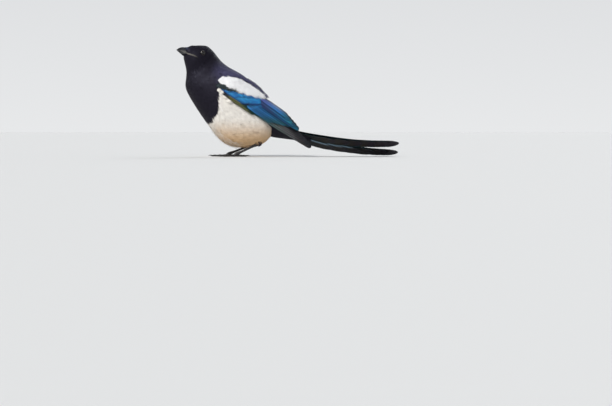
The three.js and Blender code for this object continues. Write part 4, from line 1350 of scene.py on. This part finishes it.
def plumage(name, roughness, sheen, specular, barb_scale, barb_depth, gloss=(1, 1, 1, 1)):
    """Feather webs: the mesh's own colours, fine barbs across the vane and soft streaks."""
    material, tree = new_material(name)
    vane = add_node(tree, "UVMap", "UV", uv_map="vane")
    stretched = add_node(tree, "Mapping", "Vector", {"Vector": vane, "Scale": (barb_scale, 1.6, 1)})
    barbs = noise(tree, stretched, 1, 2, noise_dimensions="2D")
    spots = noise(tree, add_node(tree, "TexCoord", "Object"), 160, 3)
    both = add_node(tree, "Math", "Value", {0: spots, 1: 0.35, 2: barbs}, operation="MULTIPLY_ADD")
    lightness = mapped(tree, both, 0.72, 1.22, 0.4, 1.0)
    dress(tree, lightness, mapped(tree, spots, roughness - 0.08, roughness + 0.1), barbs, barb_depth, {
        "Sheen Weight": sheen, "Sheen Roughness": 0.4, "Specular IOR Level": specular, "Specular Tint": gloss,
    })
    return material


def grained(name, roughness, specular, noise_scale, depth, coat=0.0):
    """Horn, scales and bare skin: the mesh's colours with fine grain."""
    material, tree = new_material(name)
    grain = noise(tree, add_node(tree, "TexCoord", "Object"), noise_scale, 5)
    rough = mapped(tree, grain, max(roughness - 0.1, 0.03), roughness + 0.1)
    dress(tree, mapped(tree, grain, 0.6, 1.5), rough, grain, depth, {
        "Specular IOR Level": specular, "Coat Weight": coat, "Coat Roughness": 0.03,
    })
    return material


# Camera, floor and lights
LENS_PIXELS = 1428  # the lens's length in pixels of the picture
PICTURE = (612, 406)
PIXEL_SIZE = 1.75  # millimetres on the bird
ORIGIN_PIXEL = (229, 156.5)  # where the bird's own origin is in the picture
DISTANCE = LENS_PIXELS * PIXEL_SIZE
CAMERA_HEIGHT = 46
FLOOR_REACH = 30  # metres
FLOOR_GREY = (0.72, 0.72, 0.71, 1)
HORIZON = (0.80, 0.81, 0.82, 1)
ZENITH = (0.36, 0.38, 0.42, 1)
# height and azimuth in degrees, strength, softness in degrees, colour.
# Azimuth 0 is behind the camera, and 90 to its right
SUNS = {
    "key": (42, -38, 2.1, 18, (1, 0.98, 0.94)),
    "rim": (38, 150, 0.6, 25, (0.92, 0.96, 1)),
    "glint": (50, -30, 0.3, 3, (1, 1, 1)),
}


def make_camera():
    data = bpy.data.cameras.new("camera")
    data.sensor_width = 36
    data.lens = LENS_PIXELS / PICTURE[0] * data.sensor_width
    data.clip_start = 0.05
    data.clip_end = 50
    camera = put("camera", data)
    x = (PICTURE[0] / 2 - ORIGIN_PIXEL[0]) * PIXEL_SIZE + ORIGIN[0]
    camera.location = (x * MM, -DISTANCE * MM, CAMERA_HEIGHT * MM)
    above_middle = math.atan((PICTURE[1] / 2 - ORIGIN_PIXEL[1]) / LENS_PIXELS)
    below_level = math.atan(CAMERA_HEIGHT / DISTANCE)
    camera.rotation_euler = (math.pi / 2 - above_middle - below_level, 0, 0)
    bpy.context.scene.camera = camera


def make_floor():
    mesh = bpy.data.meshes.new("floor")
    corners = [(-1, -1), (1, -1), (1, 1), (-1, 1)]
    mesh.from_pydata([(x * FLOOR_REACH, y * FLOOR_REACH, 0) for x, y in corners], [], [(0, 1, 2, 3)])
    material, tree = new_material("floor")
    feed(tree, tree.nodes["Principled BSDF"], {"Base Color": FLOOR_GREY, "Roughness": 0.8})
    mesh.materials.append(material)
    put("floor", mesh)


def make_studio():
    """A pale room, brightest at the horizon, with a soft sun high on the left and a weaker one behind."""
    world = bpy.data.worlds.new("studio")
    bpy.context.scene.world = world
    bpy.context.scene.view_settings.view_transform = "Standard"
    world.use_nodes = True
    tree = world.node_tree
    direction = add_node(tree, "TexCoord", "Generated")
    height = add_node(tree, "SeparateXYZ", "Z", {"Vector": direction})
    sky = add_node(tree, "ValToRGB", "Color", {"Fac": height})
    for stop, position, colour in zip(sky.node.color_ramp.elements, (0.0, 0.7), (HORIZON, ZENITH)):
        stop.position = position
        stop.color = colour
    feed(tree, tree.nodes["Background"], {"Color": sky})
    for name, sun in SUNS.items():
        make_sun(name, *sun)


def make_sun(name, height, azimuth, strength, softness, colour):
    data = bpy.data.lights.new(name, "SUN")
    data.energy = strength
    data.angle = math.radians(softness)
    data.color = colour
    light = put(name, data)
    light.location = (0, 0, 1)
    light.rotation_euler = (math.radians(90 - height), 0, math.radians(azimuth))


def build():
    black = plumage("black_feathers", 0.46, 0.0, 0.2, 9, 0.5, (0.72, 0.72, 1, 1))
    white = plumage("white_feathers", 0.8, 0.1, 0.15, 9, 0.3)
    blue = plumage("flight_feathers", 0.42, 0.0, 0.26, 60, 0.7, (0.7, 0.85, 1, 1))
    tail = plumage("tail_feathers", 0.42, 0.0, 0.11, 60, 0.7, (0.75, 0.9, 1, 1))
    skin = grained("skin", 0.7, 0.15, 900, 0.4)
    scales = grained("leg_scales", 0.42, 0.3, 1400, 0.35)
    horn = grained("horn", 0.3, 0.5, 500, 0.2)
    eye = grained("eye", 0.06, 0.24, 900, 0.0, 0.4)
    looks = {"dark": (black, "dark_plumage"), "pale": (white, "white_plumage")}
    make_skin(skin)
    make_coat(looks)
    make_wisps(looks)
    for name in SIDES:
        make_wing_base(name, skin)
        make_wing(name, blue)
        make_patches(name, looks)
        make_eye(name, eye)
        make_lids(name, scales)
        make_lips(name, skin)
        make_leg(name, scales)
        make_claws(name, horn)
    make_thigh_feathers(looks["dark"])
    make_tail(tail)
    make_tail_coverts(black)
    make_bill("upper", UPPER_BILL, 1, horn)
    make_bill("lower", LOWER_BILL, -1, horn)
    make_bristles(looks["dark"])
    make_floor()
    make_studio()
    make_camera()


build()
